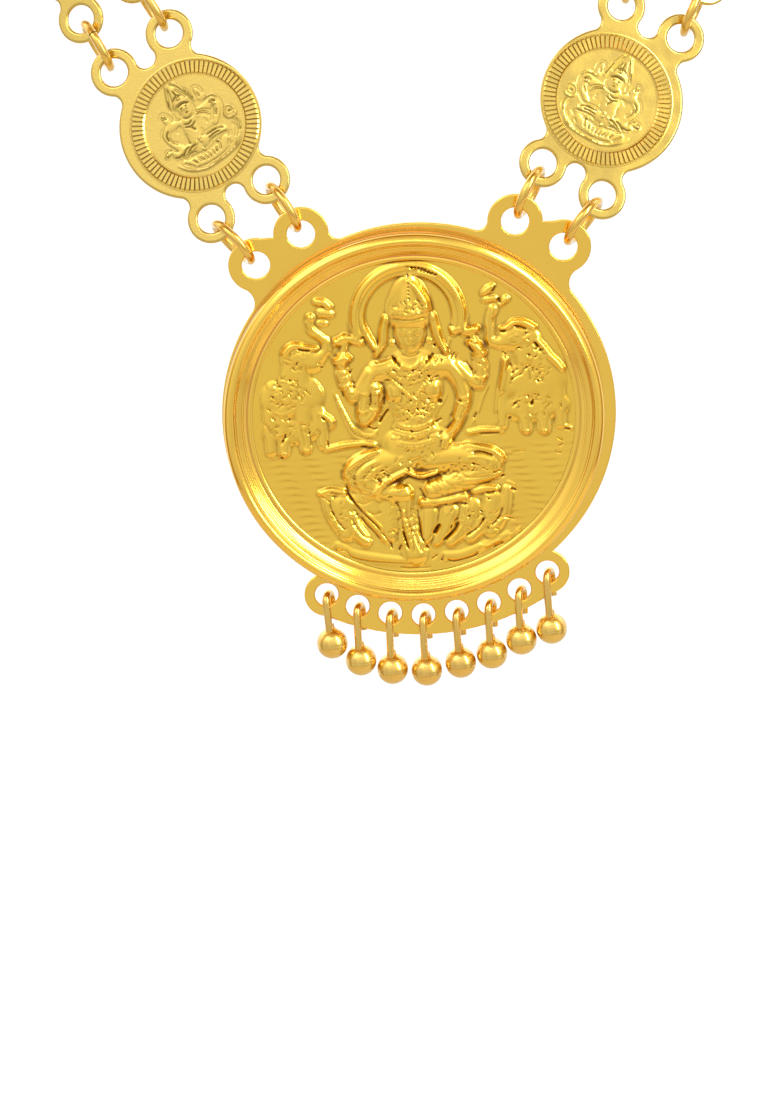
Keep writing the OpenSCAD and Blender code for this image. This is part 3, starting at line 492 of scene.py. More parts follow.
# %% Fine lines of the relief
ARCH_MIDDLE, RIDGE_R = (0.0, 11.5), 5
LINES = [  # width, height or depth, strokes of (x, y)
    # the arch's inner ridge
    (0.1, 0.12, [v for a in np.radians(range(-10, 205, 8))
                 for v in (RIDGE_R * math.cos(a), ARCH_MIDDLE[1] + RIDGE_R * math.sin(a))]),
    # arch, crown, face and hair
    (0.12, -0.34, [-0.1, 17.35, 1.2, 17.2, 2.4, 16.85]),
    (0.12, -0.3, [1.3, 16.95, 2.4, 16.6, 3.5, 16.1]),
    (0.14, -0.34, [-2.1, 7.2, -1.65, 6.6, -1.1, 6.15], [1.6, 6.2, 2.15, 6.65, 2.6, 7.2]),
    (0.11, -0.26, [2.6, 6.1, 3.1, 6.6]),
    (0.16, 0.14, [-2.35, 11.8, -2.25, 13, -1.75, 14.2, -1.1, 15.3, -0.3, 16.2],
     [2.65, 11.8, 2.5, 13, 2.05, 14.2, 1.5, 15.3, 0.8, 16.2]),
    (0.14, -0.22, [-1.9, 11.55, -0.6, 11.4, 0.7, 11.4, 2.1, 11.55]),
    (0.13, 0.12, [-2.1, 12.4, 0.1, 12.15, 2.4, 12.4]),
    (0.1, -0.3, [0.2, 16.6, 0.2, 15.9]),
    (0.12, 0.06, [-5, 10.8, -4.6, 9.5, -3.7, 8], [-0.3, 8.45, 0.1, 8.5, 0.5, 8.45]),
    (0.13, 0.08, [-1.1, 10, -0.7, 10.2, -0.2, 10], [1.3, 10, 0.9, 10.2, 0.4, 10]),
    (0.1, -0.06, [-1.1, 9.5, -0.7, 9.42, -0.3, 9.52], [1.3, 9.5, 0.9, 9.42, 0.5, 9.52]),
    (0.2, 0.14, [0.1, 10, 0.1, 9]),
    (0.13, 0.07, [-0.2, 8.15, 0.1, 8.1, 0.4, 8.15]),
    (0.08, -0.06, [-0.35, 8.3, 0.1, 8.28, 0.55, 8.3]),
    (0.14, -0.1, [-1.7, 10.8, -1.75, 9.2, -1.2, 7.9], [1.9, 10.8, 1.95, 9.2, 1.4, 7.9]),
    (0.1, -0.12, [-2.6, 11.2, -2.75, 9.6, -2.9, 8.6, -3.5, 7.7],
     [2.75, 11.2, 2.85, 9.8, 3.2, 8.7, 3.8, 7.5]),
    (0.16, 0.16, [4.6, 8.9, 4.2, 8, 3.9, 7.2]),
    (0.13, -0.28, [2.7, 8.3, 2.8, 7.9]),
    # collars, chains, sash and the belt with its folds
    (0.2, 0.2, [-1.45, 6.9, -1.15, 6.2, -0.2, 5.8, 0.7, 6.1, 1.25, 7.1]),
    (0.1, -0.14, [-1, 7.4, -0.3, 7.1, 0.6, 7.2, 1, 7.5]),
    (0.14, 0.14, [-2.1, 6.1, -1.2, 5.2, 0, 4.9, 1.3, 5.4, 2.2, 6.3]),
    (0.14, 0.12, [-2.6, 5.6, -1.5, 4.5, -0.2, 4.1, 1.4, 4.5, 2.6, 5.7]),
    (0.13, 0.12, [-2.9, 5, -1.4, 3.6, -0.5, 2.6, 0, 1.9, 0.5, 2.6, 1.3, 3.6, 2.8, 5]),
    (0.12, -0.16, [-0.35, 2.2, 0, 1.7, 0.3, 1.5]),
    (0.1, -0.16, [0.1, 5.35, 0.9, 5.8], [0.2, 4.25, 1, 4.6]),
    (0.13, -0.3, [-1.75, 7, -1.7, 6.5, -1.2, 5.9], [2, 7, 2.15, 6.6]),
    (0.15, 0.16, [-4.1, 6.3, -3, 6.5, -2, 6.9]),
    (0.16, 0.12, [4.3, 6.15, 5, 5.2, 5.9, 4]),
    (0.12, -0.1, [-1.25, 4.2, -1.2, 2.6, -1.6, 1.4]),
    (0.12, -0.12, [1, 2.2, 0.5, 1.2, -0.3, 0.4]),
    (0.12, 0.12, [1.7, 1.9, 0.9, 0.6, 0.6, -0.6], [-2.1, -2.6, 0, -3, 2.2, -2.5]),
    (0.12, 0.1, [3.9, 2.6, 3.3, 1.4, 2.3, 0.4]),
    (0.13, 0.14, [-2.2, -0.5, -0.8, -1, 0.6, -1, 2.3, -0.4], [-2.6, -1.5, -0.9, -2, 0.8, -2, 2.7, -1.4]),
    (0.1, -0.12, [-2.4, -1, -0.8, -1.5, 0.8, -1.5, 2.4, -0.9]),
    # hands, arms, bracelets, lotus stems and the garlands at the sides
    (0.09, -0.2, [-4.2, 3.2, -4.2, 1.8], [-3.7, 3.3, -3.75, 1.9], [-4.65, 3.3, -4.7, 2],
     [3.4, -2.8, 3, -3.9], [2.9, -2.7, 2.7, -3.6]),
    (0.1, -0.14, [-3.2, 2.6, -3.2, 1.5], [10.7, -4.75, 12.2, -4.7]),
    (0.12, -0.34, [-3.95, -0.55, -3.3, 0.4, -2.75, 1.1]),
    (0.12, 0.14, [-5, 1.4, -4.3, 1.1, -3.6, 1.3]),
    (0.14, 0.14, [-6.3, 1.2, -5.6, 0.9, -4.9, 1.2], [5, 1.5, 5.6, 1.2, 6.3, 1.5],
     [4.9, 2.2, 5.6, 1.9, 6.4, 2.2]),
    (0.12, 0.1, [-6.1, 3.3, -5.3, 3, -4.3, 3.3]),
    (0.14, 0.18, [5, -0.3, 4.4, -1.4, 4, -2.1]),
    (0.12, -0.26, [4.5, -0.4, 3.9, -1.2, 3.6, -1.6], [2.4, -0.8, 2.7, -0.6, 3.1, -0.35]),
    (0.12, -0.24, [2.6, -2.1, 3.1, -1.8], [-5.3, -0.8, -4.5, -1.15, -4.1, -1]),
    (0.14, 0.16, [-8.3, 4.2, -7.6, 4, -6.8, 4.3], [6.9, 4.3, 7.7, 4.05, 8.6, 4.3]),
    (0.12, -0.2, [-6.8, 3.3, -6.3, 2.4]),
    (0.12, 0.16, [-6.9, 3.5, -6.5, 2.7, -6.2, 2.3], [8.1, 6.2, 8.4, 5.5, 8.5, 4.9]),
    (0.1, -0.16, [6.1, 6.1, 6.4, 5.5, 6.8, 4.9], [-8.3, 6, -7.4, 5.9, -6.7, 5.5]),
    (0.1, -0.3, [6.55, 8, 6.75, 7.4, 7.05, 7.05]),
    (0.09, -0.22, [4.5, 6.5, 5, 7.2]),
    (0.09, -0.16, [4.9, 6.4, 5.3, 7]),
    (0.14, 0.2, [-8.8, 3.7, -8, 1.7, -7.5, 0.5, -7, -0.6, -6.4, -1.2, -5.6, -1.75, -4.5, -1.8, -4.1, -1.2]),
    (0.13, 0.16, [-8.5, 2.4, -8, 0.8, -7.4, -0.8, -6.7, -1.9, -5.4, -2.3]),
    (0.13, 0.14, [8.6, 3.4, 7.8, 1.8, 7.2, 0.2, 6.4, -1.3]),
    (0.12, -0.3, [7, 0.1, 6.85, -0.3, 6.65, -0.65]),
    (0.12, -0.16, [-6.1, -3.1, -5.4, -3.1]),
    (0.1, -0.2, [7.2, -2.4, 8.2, -2.45, 9.4, -2.4]),
    (0.1, -0.18, [15.8, -3.4, 16.4, -3.8]),
    # knees, thighs, folds, hem, foot and toes
    (0.3, 0.3, [-4, -3.5, -5, -3.75, -6, -4.3, -7, -4.9, -7.8, -5.5, -8, -6.3, -8, -7.2]),
    (0.12, -0.14, [-4.6, -4.4, -5.9, -5, -6.9, -6, -7.1, -7.2, -6.3, -8.3],
     [-4.5, -9, -3.7, -9.3, -2.7, -9.2]),
    (0.12, -0.12, [-3.8, -5, -5.2, -5.7, -6, -6.6, -5.9, -7.6, -5, -8],
     [-6.9, -9.4, -6.1, -9.65, -5.2, -9.2], [-5.9, -10.6, -5, -10.9, -4.2, -10.7],
     [-0.9, -6.9, -2.2, -7.6, -3.4, -8.2], [0.9, -7, 1.8, -8.4, 2.8, -9.2], [2.3, -6.9, 3.6, -8, 5, -8.6],
     [0.1, -8.2, 0.6, -9.1, 0.8, -9.5], [0.6, -8.2, 1, -9.1]),
    (0.12, 0.1, [-4.2, -4.6, -5.7, -5.3, -6.6, -6.4, -6.5, -7.6, -5.7, -8.3],
     [1.5, -6.9, 2.6, -8.2, 3.7, -9]),
    (0.1, -0.1, [-2.8, -5.2, -4.2, -6.1, -4.9, -7]),
    (0.12, -0.26, [-8, -7.4, -7.8, -8.5, -7.1, -9.6, -6.4, -10.6, -5.7, -11.4, -4.9, -12.3, -4.3, -13.1],
     [-4.4, -13, -3.9, -13.8, -3.4, -14.5, -3.3, -15.2]),
    (0.13, 0.18, [-7.7, -8.2, -6.8, -9.6, -5.9, -10.7, -4.9, -11.8, -4.1, -12.8]),
    (0.12, 0.12, [-6.4, -8.7, -5.6, -8.8, -4.9, -8.6]),
    (0.1, -0.3, [-1.5, -6.5, -1.1, -6.35], [-3.5, -9, -2.9, -8.9]),
    (0.14, 0.16, [-2.5, -8.3, -1.7, -8.1, -0.9, -7.9]),
    (0.28, 0.28, [5, -3.7, 5.7, -3.4, 6.6, -3.6, 8.4, -4.2, 9.8, -5.2]),
    (0.11, -0.26, [6.2, -4.4, 7.2, -4.4, 8.6, -4.95], [6.1, -5.6, 7, -5.9]),
    (0.11, 0.12, [5.6, -4.9, 7, -4.9, 8.4, -5.4], [5, -7.5, 7, -7.6, 8.9, -7.4]),
    (0.11, -0.14, [5.2, -7.15, 7, -7.2, 9, -6.95]),
    (0.11, -0.12, [4.4, -7.8, 6, -8.2, 8.2, -8]),
    (0.11, -0.3, [8.4, -6.9, 9.3, -6.7]),
    (0.11, -0.28, [9.3, -7.6, 9.7, -7.3]),
    (0.12, -0.2, [3.2, -6.7, 3.8, -6.1, 4.6, -5.6, 4.9, -4.8]),
    (0.1, -0.26, [1.4, -10, 1.9, -10]),
    (0.1, -0.16, [2.2, -10.3, 3.2, -10.25]),
    (0.09, -0.24, [4.7, -9.75, 5.4, -9.85]),
    (0.09, -0.2, [4.7, -10.4, 5.4, -10.3]),
    (0.11, 0.14, [4.2, -9.2, 5, -9.2, 5.6, -9.5, 5.5, -10.1]),
    # pleats of the fall, slits between the petals, outline of the base
    (0.11, -0.2, [-2.7, -9.6, -2.2, -10.5, -2, -12.5, -1.5, -15.2],
     [-1.6, -10.2, -1.35, -11.8, -1, -13.2, -0.85, -15.6],
     [-0.25, -10.5, -0.1, -12.4, 0.1, -14, 0.4, -14.8], [-2.6, -15.4, -2.2, -14.6],
     [0.2, -14.1, 0.5, -14.9, 0.8, -15.4], [-10.9, -8.5, -10.2, -8.9, -9.9, -9.3], [8.2, -13.4, 8.8, -13.5],
     [-9.6, -14, -9.5, -14.9, -8.5, -15, -7.8, -15.8, -6.3, -16.3, -4.6, -16.6, -1, -17],
     [1, -16.6, 1.7, -16.1], [2.6, -16.6, 3.5, -17, 5, -16.7, 6, -16.4, 6.3, -15.7]),
    (0.11, -0.18, [-0.9, -13, -0.4, -14.4, 0.1, -15.7], [8, -15.6, 9.2, -15.2]),
    (0.11, -0.26, [-2, -13, -1.7, -14.2, -1.4, -15.3], [-9.9, -8, -9.2, -8.3, -8.3, -8.4],
     [7.5, -9.3, 8.2, -9.25, 8.6, -9.1], [7.6, -9.95, 8, -9.9]),
    (0.11, 0.12, [-1.9, -10.4, -1.65, -12.4, -1.3, -14.6], [-0.7, -10.6, -0.5, -12.6, 0, -14.8],
     [2.9, -11, 2.3, -13, 1.5, -14.4], [5.4, -10.6, 4.7, -12.8, 3.6, -14.2]),
    (0.15, -0.42, [2.2, -12.5, 1.8, -13.1, 1.4, -13.6]),
    (0.13, -0.34, [4.3, -12.4, 3.9, -13.2, 3.3, -13.8, 2.4, -14.5]),
    (0.13, -0.3, [7.2, -11.9, 6.8, -12.7, 6.1, -13.4, 5, -14.1],
     [9.3, -10.9, 9, -11.8, 8.5, -12.5, 7.9, -13.1], [10.3, -8.9, 10.9, -9.2]),
    (0.12, -0.26, [-10, -9, -9.8, -10.2, -9.2, -11.5, -8.4, -12.7]),
    (0.12, -0.22, [-7.7, -11, -7.2, -12.2, -6.4, -13.4, -5.4, -13.9]),
    (0.12, -0.18, [-6.6, -11, -6.1, -12, -5.2, -13, -4.5, -14]),
    (0.13, 0.2, [9.9, -8.1, 10.4, -8.3, 10.8, -8.6]),
    (0.1, -0.16, [9, -12.15, 9.8, -12.3, 10.6, -12.5]),
    (0.11, -0.24, [2.4, -16.1, 2.1, -16.9]),
    (0.12, 0.16, [6.4, -15.2, 7.2, -15.4, 8.4, -14.9, 9, -14.7]),
    (0.12, 0.14, [9.8, -14.4, 10.6, -14, 11.3, -13.3]),
    (0.11, -0.14, [-2.7, -17.2, -1.5, -17.5, 1, -17.5]),
    # left elephant
    (0.12, -0.3, [-12.5, 8.55, -11.8, 8.45, -11.1, 8.35]),
    (0.12, 0.14, [-9.3, 9.9, -8.95, 9.5, -8.75, 8.7, -8.9, 8, -8.7, 7.3]),
    (0.1, -0.14, [-11.4, 11.6, -11.2, 10.8, -10.4, 10.2], [-10.9, -0.7, -10.5, -1.2, -10.9, -1.8]),
    (0.1, -0.2, [-10.4, 6.8, -10, 6.95], [-10, 6.5, -9.8, 6.2], [-9.7, 13.5, -9.2, 13.2]),
    (0.11, -0.22, [-9.9, 11.5, -9.2, 11.2]),
    (0.12, 0.18, [-11, 5.1, -10.5, 4.4, -9.9, 3.1]),
    (0.11, -0.14, [-12.9, 4, -12.6, 3.2, -12.2, 2.4], [-11.9, 3.9, -11.3, 3.2],
     [-12.7, 0, -12.5, -1.4, -12.3, -2.8], [-11.8, 0, -11.7, -1.4, -11.6, -2.8]),
    (0.11, -0.16, [-14.5, 3.1, -14, 3.35], [-16.7, 0.3, -16.2, -0.4, -15.9, -1]),
    (0.11, -0.12, [-15.9, 2.8, -14.6, 2.3, -13.4, 2.5]),
    (0.11, 0.1, [-15.6, 1.6, -14.6, 1.2, -13.2, 1.5]),
    (0.11, -0.24, [-10.3, 0.7, -9.9, 0.2]),
    (0.11, -0.26, [-14.3, -0.9, -14.6, -1.6, -14.9, -2.3]),
    (0.11, -0.2, [-9.8, -2.1, -9.7, -2.8]),
    # right elephant, and the last cuts on both
    (0.12, -0.28, [11.7, 9.75, 12.4, 9.6, 13.1, 9.3]),
    (0.11, -0.2, [10.1, 9.25, 10.8, 9.25], [11, 3.6, 11.6, 4, 12.2, 4.3], [11.1, 4.3, 11.9, 4.9],
     [12.1, 4.1, 12.7, 4.9]),
    (0.12, 0.14, [9.5, 11.9, 9.1, 10.7, 8.85, 9.5, 8.75, 8.4, 8.9, 7.5]),
    (0.11, -0.26, [9.5, 13.9, 9.9, 14.55]),
    (0.11, -0.24, [10.1, 13.1, 10.35, 12.4]),
    (0.11, -0.16, [13.7, 7.8, 14.2, 7.2], [11, 5.6, 11.3, 4.4, 10.9, 3]),
    (0.1, -0.2, [10.2, 6.9, 10.7, 6.5], [15.9, -4.4, 16.4, -4.1], [16.4, 0.7, 16.45, 0],
     [-16.2, 2, -15.9, 1.6], [-15.8, 1, -15.5, 0.5], [-12.6, 0.1, -12.4, -0.1, -12.1, -0.1]),
    (0.13, 0.18, [10.7, 6.2, 10.4, 5.3, 10.2, 4.2, 9.7, 1.8]),
    (0.12, 0.16, [11, 0.6, 11.3, 1.1, 12.1, 1.4]),
    (0.11, -0.14, [12.2, 5.4, 13, 4.6, 13.2, 3.4], [9.3, 0.2, 9.4, -1.5]),
    (0.11, -0.12, [13.6, 5, 14.3, 4.2, 14.4, 3]),
    (0.09, -0.05, [13.3, 1, 13.4, -0.6, 13.3, -1.6]),
    (0.09, -0.04, [15.5, 1, 15.6, -0.6, 15.5, -1.6]),
    (0.11, -0.28, [13.1, 0.5, 13.4, 1.3], [11, 0.45, 11.4, 1, 12, 1.25]),
    (0.12, -0.3, [10.5, -0.9, 10.8, -0.6], [13.8, 7.9, 14.1, 7.5, 14.3, 7.1]),
    (0.13, -0.34, [16.6, -2.35, 17.3, -2.5]),
    (0.1, -0.16, [15.5, -5, 16.2, -5.2]),
    (0.1, -0.24, [-15.1, -3.75, -14.8, -3.9], [-12.3, -3.45, -12.1, -3.5]),
]

# %% Beads and small marks of the relief
BEADS = [  # x, y, radius, height
    (0.2, 13.0, 0.3, 0.16), (-0.75, 9.72, 0.3, 0.1), (0.95, 9.72, 0.3, 0.1), (0.1, 8.98, 0.28, 0.12),
    (-1.95, 8.7, 0.38, 0.22), (2.15, 8.7, 0.38, 0.22), (0, 1.6, 0.4, 0.2), (-7.5, 7.3, 0.7, 0.12),
    (7.5, 7.7, 0.6, 0.14), (-8.2, 9.3, 0.4, 0.16), (-7.4, 9.65, 0.42, 0.16), (-6.6, 9.5, 0.4, 0.14),
    (-5.8, 9.3, 0.34, 0.12), (7.4, 9.8, 0.45, 0.26), (6.5, 9.75, 0.42, 0.26), (5.6, 9.85, 0.34, 0.2),
    (4.8, 9.9, 0.38, 0.22), (-14.7, -3.5, 0.4, 0.2), (-12.2, -3.3, 0.4, 0.2), (12.4, -2.5, 0.4, 0.2),
    (14.4, -2.6, 0.4, 0.2), (-15.6, 4.6, 0.6, 0.12), (-10.9, 12.2, 0.4, 0.14), (13.2, 6.4, 0.25, -0.2),
    (14, 7.0, 0.2, -0.16), (2.1, 4.1, 0.25, -0.22), (3.0, 1.6, 0.3, -0.3), (-3.7, 0.2, 0.2, -0.1),
    (-1.0, -5.8, 0.2, -0.25), (1.0, 0.9, 0.2, -0.2), (5.2, 1.6, 0.25, -0.25), (-5.3, -5.9, 0.3, -0.12),
    (3.4, 6.4, 0.2, -0.3), (-13.5, 5.1, 0.3, -0.2), (5.2, -9.1, 0.2, 0.12), (5.45, -9.6, 0.2, 0.12),
    (5.3, -10.1, 0.2, 0.12),
]
BEAD_ROWS = [  # first x, y, last x, y, how many, radius, height
    (-2.0, 12.0, 2.3, 12.0, 9, 0.2, 0.1), (-2.3, -1.0, 2.3, -1.0, 9, 0.2, 0.12),
    (-2.4, -2.2, 2.5, -2.2, 9, 0.22, 0.12), (4.8, -5.2, 3.4, -6.7, 5, 0.2, 0.14),
    (-1.9, 0.6, 1.0, -0.5, 6, 0.15, 0.08), (-1.2, -3.4, 1.4, -3.4, 5, 0.2, 0.08),
]
STRINGS = [  # bead radius, height, spacing, strokes of (x, y)
    (0.15, 0.12, 0.36, [-1.7, 6.5, -1.2, 5.6, -0.1, 5.3, 1.1, 5.8, 1.8, 6.8]),
    (0.16, 0.12, 0.38, [-2.5, 6.2, -1.6, 4.9, -0.1, 4.5, 1.5, 5, 2.6, 6.2],
     [-3, 5.3, -1.6, 3.9, -0.6, 2.9, 0, 2.3, 0.6, 2.9, 1.5, 3.9, 3, 5.3]),
    (0.15, 0.12, 0.36, [-2.3, -1.25, 0, -1.75, 2.4, -1.2]),
    (0.16, 0.12, 0.4, [-2.1, -2.9, 0, -3.35, 2.2, -2.8]),
    (0.14, 0.1, 0.34, [-2.1, 12.75, 0.15, 12.5, 2.4, 12.75]),
    (0.13, -0.2, 0.42, [0.2, 15.7, 0.2, 13.8]),
    (0.14, 0.12, 0.36, [-8.65, 3.1, -8, 1.3, -7.25, -0.2, -6.5, -1.5, -5.4, -2]),
    (0.15, 0.1, 0.4, [-5.3, -4.3, -6.6, -5.1, -7.5, -6.1, -7.6, -7.2], [5.6, -4.1, 7, -4.1, 8.7, -4.7]),
    (0.16, -0.26, 0.4, [0.5, 17.2, 1.6, 17.05, 2.6, 16.7, 3.6, 16.15]),
    (0.12, -0.16, 0.36, [0.8, 16.9, 1.8, 16.75, 2.8, 16.35]),
]
SMALL_MARKS = [  # middle, reach and number of the marks in each patch of cloth, skin or petals
    (-13.7, 3.7, 2.1, 1.9, 60), (14.1, 5.0, 1.5, 2.1, 50), (0.2, -0.3, 2.4, 2.4, 46),
    (-0.2, -4.6, 2.6, 1.0, 24), (0.1, 12.9, 1.7, 0.9, 34), (0.1, 4.9, 3.3, 1.1, 50),
    (0.1, 1.6, 2.4, 1.5, 44), (-4.8, -6.6, 2.6, 1.3, 44), (5.6, -6.3, 3.2, 1.2, 46),
    (-7.2, 4.6, 0.8, 2.2, 10), (7.5, 5.0, 0.8, 2.2, 10), (-4.4, 2.9, 0.9, 1.5, 14),
    (-2.0, -12.0, 1.6, 3.0, 36), (-8.4, -11.2, 1.6, 2.0, 26), (5.6, -12.0, 3.6, 1.6, 44),
    (-12.6, 7.2, 1.4, 1.2, 18), (12.4, 8.2, 1.4, 1.2, 18), (-13.6, -0.6, 2.4, 1.6, 30),
    (13.4, 0.6, 2.6, 1.4, 30),
]

# %% Height of the medal's relief
FIELD_R, FIELD_T, RIM_SHIFT = 17.97, 0.8, (-0.6, -0.1)
LIMB_RISE, LINE_RISE, CUT_DEPTH, LINE_SPREAD = 0.88, 0.75, 0.8, 1.1
SOFTNESS, LOW_FORM, ROUND, FLAT_TOPPED = 0.08, 0.5, 0.85, 0.55
CROWN = [(0.2, 12.2, 2.65), (0.2, 13.2, 2.45), (0.25, 14.4, 1.95), (0.3, 15.4, 1.25), (0.3, 16.0, 0.75)]
CROWN_RISE, CROWN_FALL, CROWN_LEAST = 1.2, 0.13, 0.3
ARCH_FEET = (-14, -160)  # degrees
ARCH_BEADS = [(5.72, 0.75, 0.3), (5.95, 0.58, 0.55), (5.16, 0.26, 0.36)]  # radius, half width, height
MARK_WIDTH, MARK_HALF_LENGTH, MARK_DEPTHS = 0.09, (0.1, 0.24), [-0.13, -0.08, 0.06]
WAVE_HEIGHT, DEEPEST_CUT = 0.022, -0.25
SHORE_Y, SHORE_FADE, LOTUS_FOOT_Y, FOOT_FADE, BARE_GROUND = -3.0, 1.2, -16, 2.5, 0.1
# painted shade in the crevices: the sink where it starts, the sink over which it grows to full, and the
# smoothing passes that measure the sink
SHADE_FROM, SHADE_OVER, SHADE_REACH = 0.012, 0.07, 10
rings, passes = ((168, 4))
field_points, field_faces, field_edge = ring_points(FIELD_R * np.arange(1, rings + 1) / rings)
px, py = field_points.T
relief = np.zeros(len(field_points))
for top, path in strokes(LIMBS, 3):
    power = ROUND if top > LOW_FORM else FLAT_TOPPED
    raise_limb(field_points, relief, path, top * LIMB_RISE, SOFTNESS, power)
# the crown is highest at the brow and falls back towards its tip
crown = np.zeros(len(field_points))
raise_limb(field_points, crown, smooth_path(CROWN), CROWN_RISE, SOFTNESS, 1.0)
relief = np.maximum(relief, crown * np.clip(1 - CROWN_FALL * (py - CROWN[0][1]), CROWN_LEAST, 1))
arch = field_points - ARCH_MIDDLE
arch_r, arch_a = np.hypot(*arch.T), np.degrees(np.arctan2(arch[:, 1], arch[:, 0]))
arch_shape = np.zeros(len(relief))
for middle_r, half_width, top in ARCH_BEADS:
    bead = np.clip(1 - ((arch_r - middle_r) / half_width) ** 2, 0, 1) ** 0.75
    arch_shape = np.maximum(arch_shape, top * bead)
arch_shape = rounded_off(arch_shape, field_faces, passes)
on_arch = (arch_a > ARCH_FEET[0]) | (arch_a < ARCH_FEET[1])
relief = np.where(on_arch, np.maximum(relief, arch_shape), relief)
relief = rounded_off(relief, field_faces, passes)
behind = relief.copy()
for width, depth, path in strokes(LINES, 2):
    rise = LINE_RISE if depth > 0 else CUT_DEPTH
    draw_line(field_points, relief, path, width * LINE_SPREAD, depth * rise)
for x, y, r, top in BEADS:
    set_bead(field_points, relief, x, y, r, top * LINE_RISE)
for r, top, gap, path in strokes(STRINGS, 2, 12):
    run = np.concatenate([[0], np.cumsum(np.linalg.norm(np.diff(path, axis=0), axis=1))])
    for s in np.arange(gap / 2, run[-1], gap):
        set_bead(field_points, relief, np.interp(s, run, path[:, 0]), np.interp(s, run, path[:, 1]), r, top)
die = np.random.default_rng(3)
for x, y, reach_x, reach_y, count in SMALL_MARKS:
    for _ in range(count):
        turn, far, lean = die.uniform(0, 2 * math.pi), math.sqrt(die.uniform(0, 1)), die.uniform(0, math.pi)
        at = np.array([x + reach_x * far * math.cos(turn), y + reach_y * far * math.sin(turn)])
        half = die.uniform(*MARK_HALF_LENGTH) * np.array([math.cos(lean), math.sin(lean)])
        ends = np.array([at - half, at + half])
        draw_line(field_points, relief, ends, MARK_WIDTH, die.choice(MARK_DEPTHS), 0)
for x0, y0, x1, y1, count, r, top in BEAD_ROWS:
    for k in range(count):
        t = k / (count - 1)
        set_bead(field_points, relief, x0 + (x1 - x0) * t, y0 + (y1 - y0) * t, r, top * LINE_RISE)
relief = rounded_off(relief, field_faces, passes // 4)
# water: low waves on the free ground between the shore and the lotus
calm = np.clip((SHORE_Y - py) / SHORE_FADE, 0, 1) * np.clip((py - LOTUS_FOOT_Y) / FOOT_FADE, 0, 1)
calm *= np.clip(1 - behind / BARE_GROUND, 0, 1)
swell = np.sin(py * 7.6 + 0.8 * np.sin(px * 0.9) + 0.5 * np.sin(px * 2.3 + py))
waves = WAVE_HEIGHT * swell * (0.6 + 0.4 * np.sin(px * 1.7 + py * 0.8))
relief = np.maximum(relief + calm * waves, DEEPEST_CUT)
# painted shade: the crevices are darkened by how far they sink below the smoothed relief
sunk = rounded_off(relief, field_faces, SHADE_REACH) - relief
field_painted_shade = np.clip((sunk - SHADE_FROM) / SHADE_OVER, 0, 1)
print("relief: highest", relief.max().round(2), "mm, deepest", relief.min().round(2), "mm")


# %% The stamped disc
def paint_shade(mesh, values):
    """Stores how much painted shade each point gets, for the finish to read. Points without a value get none.
    """
    painted_shade = mesh.attributes.new("hollow", "FLOAT", "POINT")
    painted_shade.data.foreach_set("value", np.concatenate([values, np.zeros(len(mesh.vertices) - len(values))]))


def stamped_disc(name, points, faces, edge, heights, ground, material, seat):
    """A closed disc with the relief on top."""
    base, count = len(points), len(points) - edge
    verts = [(x, y, ground + h) for (x, y), h in zip(points, heights)]
    verts += [(x, y, 0) for x, y in points[edge:]]
    walls = [(edge + j, base + j, base + (j + 1) % count, edge + (j + 1) % count) for j in range(count)]
    floor = tuple(base + j for j in reversed(range(count)))
    return mesh_object(name, verts, faces + walls + [floor], material, seat)


SEATING_GAP = 0.05
rim_seat = seat_from(spot(medal_place, *RIM_SHIFT, PLATE_T / 2), *medal_place[1:])
relief_seat = rim_seat @ Matrix.Translation((0, 0, SEATING_GAP))
medal_relief = stamped_disc("medal_relief", field_points, field_faces, field_edge, relief, FIELD_T,
                            field_gold, relief_seat)
paint_shade(medal_relief.data, field_painted_shade)
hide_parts("pendant_relief")
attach(medal_relief, "medal")
print("relief disc:", len(medal_relief.data.polygons), "faces")

# %% [markdown]
# ## The rim
# The frame is a separate ring of sheet that was turned and pressed on a lathe: a smooth bead outside,
# a slope down to the field in two steps, shallow lines that the tool left, and a narrow groove. A
# lathe piece is a profile swept round, so the profile is listed and the sweep is a loop. The
# hand-held tool wanders a little, so the steps are not perfectly round. The groove, the tool's lines
# and the outer wall get a painted orange shade, strongest at the top.

# %% Turned rim
RIM_SHAPE = [  # radius, height above the plate, over the top from the inner edge
    (18.0, 0.95), (18.1, 1.03), (18.22, 1.08), (18.36, 1.09), (18.48, 1.05), (18.56, 1.0), (18.64, 0.99),
    (18.72, 1.04), (19.0, 1.25), (19.34, 1.5), (19.5, 1.56), (19.72, 1.64), (19.86, 1.75), (20.2, 2.06),
    (20.34, 2.14), (20.46, 2.16), (20.56, 2.13), (20.68, 2.06), (20.78, 1.99), (20.88, 1.915),
    (20.97, 1.85), (21.05, 1.77), (21.11, 1.69), (21.16, 1.6), (21.2, 1.5),
]
TURNED_LINES = [  # radius, depth
    (18.98, 0.008), (19.18, 0.012), (19.36, 0.014), (19.5, 0.016), (19.64, 0.016), (19.8, 0.012),
    (20.0, 0.01), (20.28, 0.01), (20.42, 0.012), (20.97, 0.012),
]
RIM_IN, RIM_OUT, RIM_STEP = 18.0, 21.2, 0.025
# the wall, with a shallow groove round it
RIM_WALL = [(RIM_OUT, 1.4), (RIM_OUT, 0.95), (21.14, 0.86), (RIM_OUT, 0.77), (RIM_OUT, SEATING_GAP)]
LINE_HALF_WIDTH, LINE_SHADE = 0.045, 14
